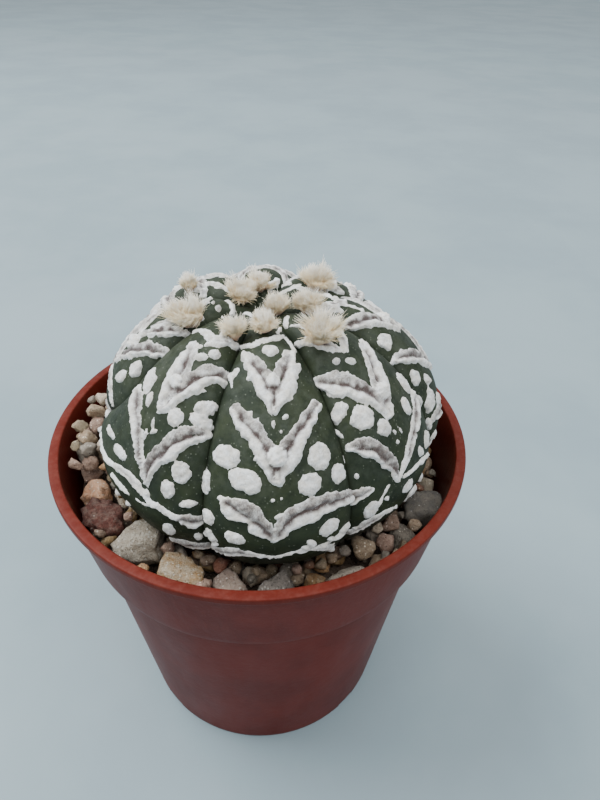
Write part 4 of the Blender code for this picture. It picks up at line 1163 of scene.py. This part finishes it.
def buildPot(look):
    outline = potProfile(look)
    dense = []
    for (r0, h0), (r1, h1) in zip(outline[:-1], outline[1:]):
        steps = max(1, int(math.hypot(r1 - r0, h1 - h0) / look["row"]))
        dense += [(r0 + (r1 - r0) * k / steps, h0 + (h1 - h0) * k / steps) for k in range(steps)]
    dense = np.array(dense[1:])  # the poles are added below
    rows, around = len(dense), look["segments"]
    turn = np.arange(around) * fullTurn / around
    radius = np.repeat(dense[:, :1], around, 1)
    height = np.repeat(dense[:, 1:], around, 1)
    points = np.stack([radius * np.cos(turn), radius * np.sin(turn), height], -1)
    wave = latticeNoise(points, 26.0, 41) * look["wobble"] * np.clip(height / 20.0, 0, 1)
    inwards = 1.0 - np.abs(wave)[..., None] / np.maximum(radius, 5.0)[..., None]
    points[..., :2] *= inwards
    foot, top = np.array([[0, 0, look["recess"]]]), np.array([[0, 0, look["recess"] + look["floor"]]])
    lipRow = int(np.argmax(dense[:, 1]))
    # inner rises from 0 at the lip to 1 a few rows down the inside wall; it drives the painted shade inside
    # the pot
    inner = np.clip((np.arange(rows) - lipRow - 4) / 6.0, 0, 1)
    inner = np.concatenate([np.repeat(inner, around), [0.0, 1.0]])
    pot = makePiece("potShell", np.concatenate([points.reshape(-1, 3), foot, top]),
                    [gridFaces(rows, around, wrap=True)] + poleFans(rows, around), potMaterial(look),
                    "pot_plastic", replaces=["pot"], inner=inner)
    sides = 26
    for hole in range(look["holes"]):
        angle = fullTurn * (hole + 0.5) / look["holes"] + math.radians(look["holeTurn"])
        middle = np.array([look["holeRing"] * math.cos(angle), look["holeRing"] * math.sin(angle)])
        rim = np.arange(sides) * fullTurn / sides + 0.1
        circle = middle + look["holeRadius"] * np.stack([np.cos(rim), np.sin(rim)], -1)
        block = np.concatenate([np.c_[circle, np.full(sides, -2.0)], np.c_[circle, np.full(sides, 6.0)]])
        walls = [(k, (k + 1) % sides, sides + (k + 1) % sides, sides + k) for k in range(sides)]
        cutAway(pot, block, walls + [tuple(range(sides))[::-1], tuple(range(sides, 2 * sides))])
    for notch in range(look["notches"]):
        angle = fullTurn * (notch + 0.5) / look["notches"]
        out = np.array([math.cos(angle), math.sin(angle), 0])
        side = np.array([-math.sin(angle), math.cos(angle), 0])
        corners = [out * r + side * w * look["notchWidth"] / 2 + np.array([0, 0, z])
                   for z in (-1.0, look["notchHeight"])
                   for r, w in ((25.5, -1), (33.5, -1), (33.5, 1), (25.5, 1))]
        faces = [(3, 2, 1, 0), (4, 5, 6, 7), (0, 1, 5, 4), (1, 2, 6, 5), (2, 3, 7, 6), (3, 0, 4, 7)]
        cutAway(pot, corners, faces)
    return pot


# Floor, light and camera
roomLook = {
    "floorSize": 9.0, "floor": (0.246, 0.312, 0.335), "floorShade": (0.214, 0.278, 0.303),
    "sky": (0.86, 0.91, 0.95), "skyStrength": 1.1,
}
lamps = (  # name, place in metres, size in metres, watts, color, aimed at this height
    ("window", (-0.75, 0.25, 1.15), 0.9, 25.0, (0.93, 0.97, 1.0), 0.05),
    ("ceiling", (0.25, -0.35, 1.5), 1.4, 18.5, (0.97, 0.98, 1.0), 0.05),
)
cameraLook = {  # mm from the middle of the pot's foot, degrees, and lens and film in mm
    "place": (5.49, -96.78, 156.90), "tiltDown": 37.89, "turn": 1.53, "roll": 1.90,
    "lens": 27.0, "film": 36.0,
}


def buildFloor(look):
    mesh = bpy.data.meshes.new("floor")
    half = look["floorSize"] / 2
    corners = [(-half, -half, 0), (half, -half, 0), (half, half, 0), (-half, half, 0)]
    mesh.from_pydata(corners, [], [(0, 1, 2, 3)])
    floor = bpy.data.objects.new("floor", mesh)
    floor.location.z = potFoot[2]
    bpy.context.collection.objects.link(floor)
    material, tree, shader = newMaterial("floorPaint", 0.6, specularIORLevel=0.3)
    paint = useGroup(tree, groups["mottle"], scale=9.0, first=look["floor"], second=look["floorShade"],
                     third=look["floor"], spread=0.3)
    feed(tree, shader.inputs["Base Color"], paint["Color"])
    grain = useGroup(tree, groups["grain"], scale=420.0, grit=0.4, pits=0.0)
    roughen(tree, shader, grain["Height"], 0.05, 0.4)
    mesh.materials.append(material)


def buildLight(look):
    world = bpy.data.worlds.new("daylight")
    bpy.context.scene.world = world
    world.use_nodes = True
    background = world.node_tree.nodes["Background"]
    background.inputs["Color"].default_value = (*look["sky"], 1.0)
    background.inputs["Strength"].default_value = look["skyStrength"]
    for name, spot, size, power, color, height in lamps:
        lamp = bpy.data.lights.new(name, "AREA")
        lamp.shape, lamp.size, lamp.energy, lamp.color = "DISK", size, power, color
        holder = bpy.data.objects.new(name, lamp)
        holder.location = spot
        aim = Vector((0, 0, height)) - Vector(spot)
        holder.rotation_euler = aim.to_track_quat("-Z", "Y").to_euler()
        bpy.context.collection.objects.link(holder)


def buildCamera(look):
    camera = bpy.data.cameras.new("camera")
    camera.lens, camera.sensor_width, camera.clip_start = look["lens"], look["film"], 0.005
    holder = bpy.data.objects.new("camera", camera)
    turned = (Matrix.Rotation(math.radians(-look["turn"]), 4, "Z")
              @ Matrix.Rotation(math.radians(90.0 - look["tiltDown"]), 4, "X")
              @ Matrix.Rotation(math.radians(look["roll"]), 4, "Z"))
    holder.matrix_world = Matrix.Translation(toMetres(look["place"])) @ turned
    bpy.context.collection.objects.link(holder)
    bpy.context.scene.camera = holder


buildCamera(cameraLook)
buildLight(roomLook)
buildFloor(roomLook)
print("camera, light and floor")
buildSkin(skinLook)
print("skin")
felt = feltMaterial()
for marks in feltRibs:
    buildFelt(marks, feltLook, felt)
print("felt")
wool = woolMaterial()
for node in woolTufts:
    buildWool(node, woolLook, wool)
print("wool")
kindMaterials = {kind: stoneMaterial("pebble" + kind, *look, tone=0.7) for kind, look in stoneKinds.items()}
buildTopStones(kindMaterials)
print("stones")
print("gravel:", buildGravel(gravelLook, kindMaterials))
grit = gritMaterial()
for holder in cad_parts["gravel_bed"].material_slots:
    holder.material = grit
buildPot(potLook)
print("pot")
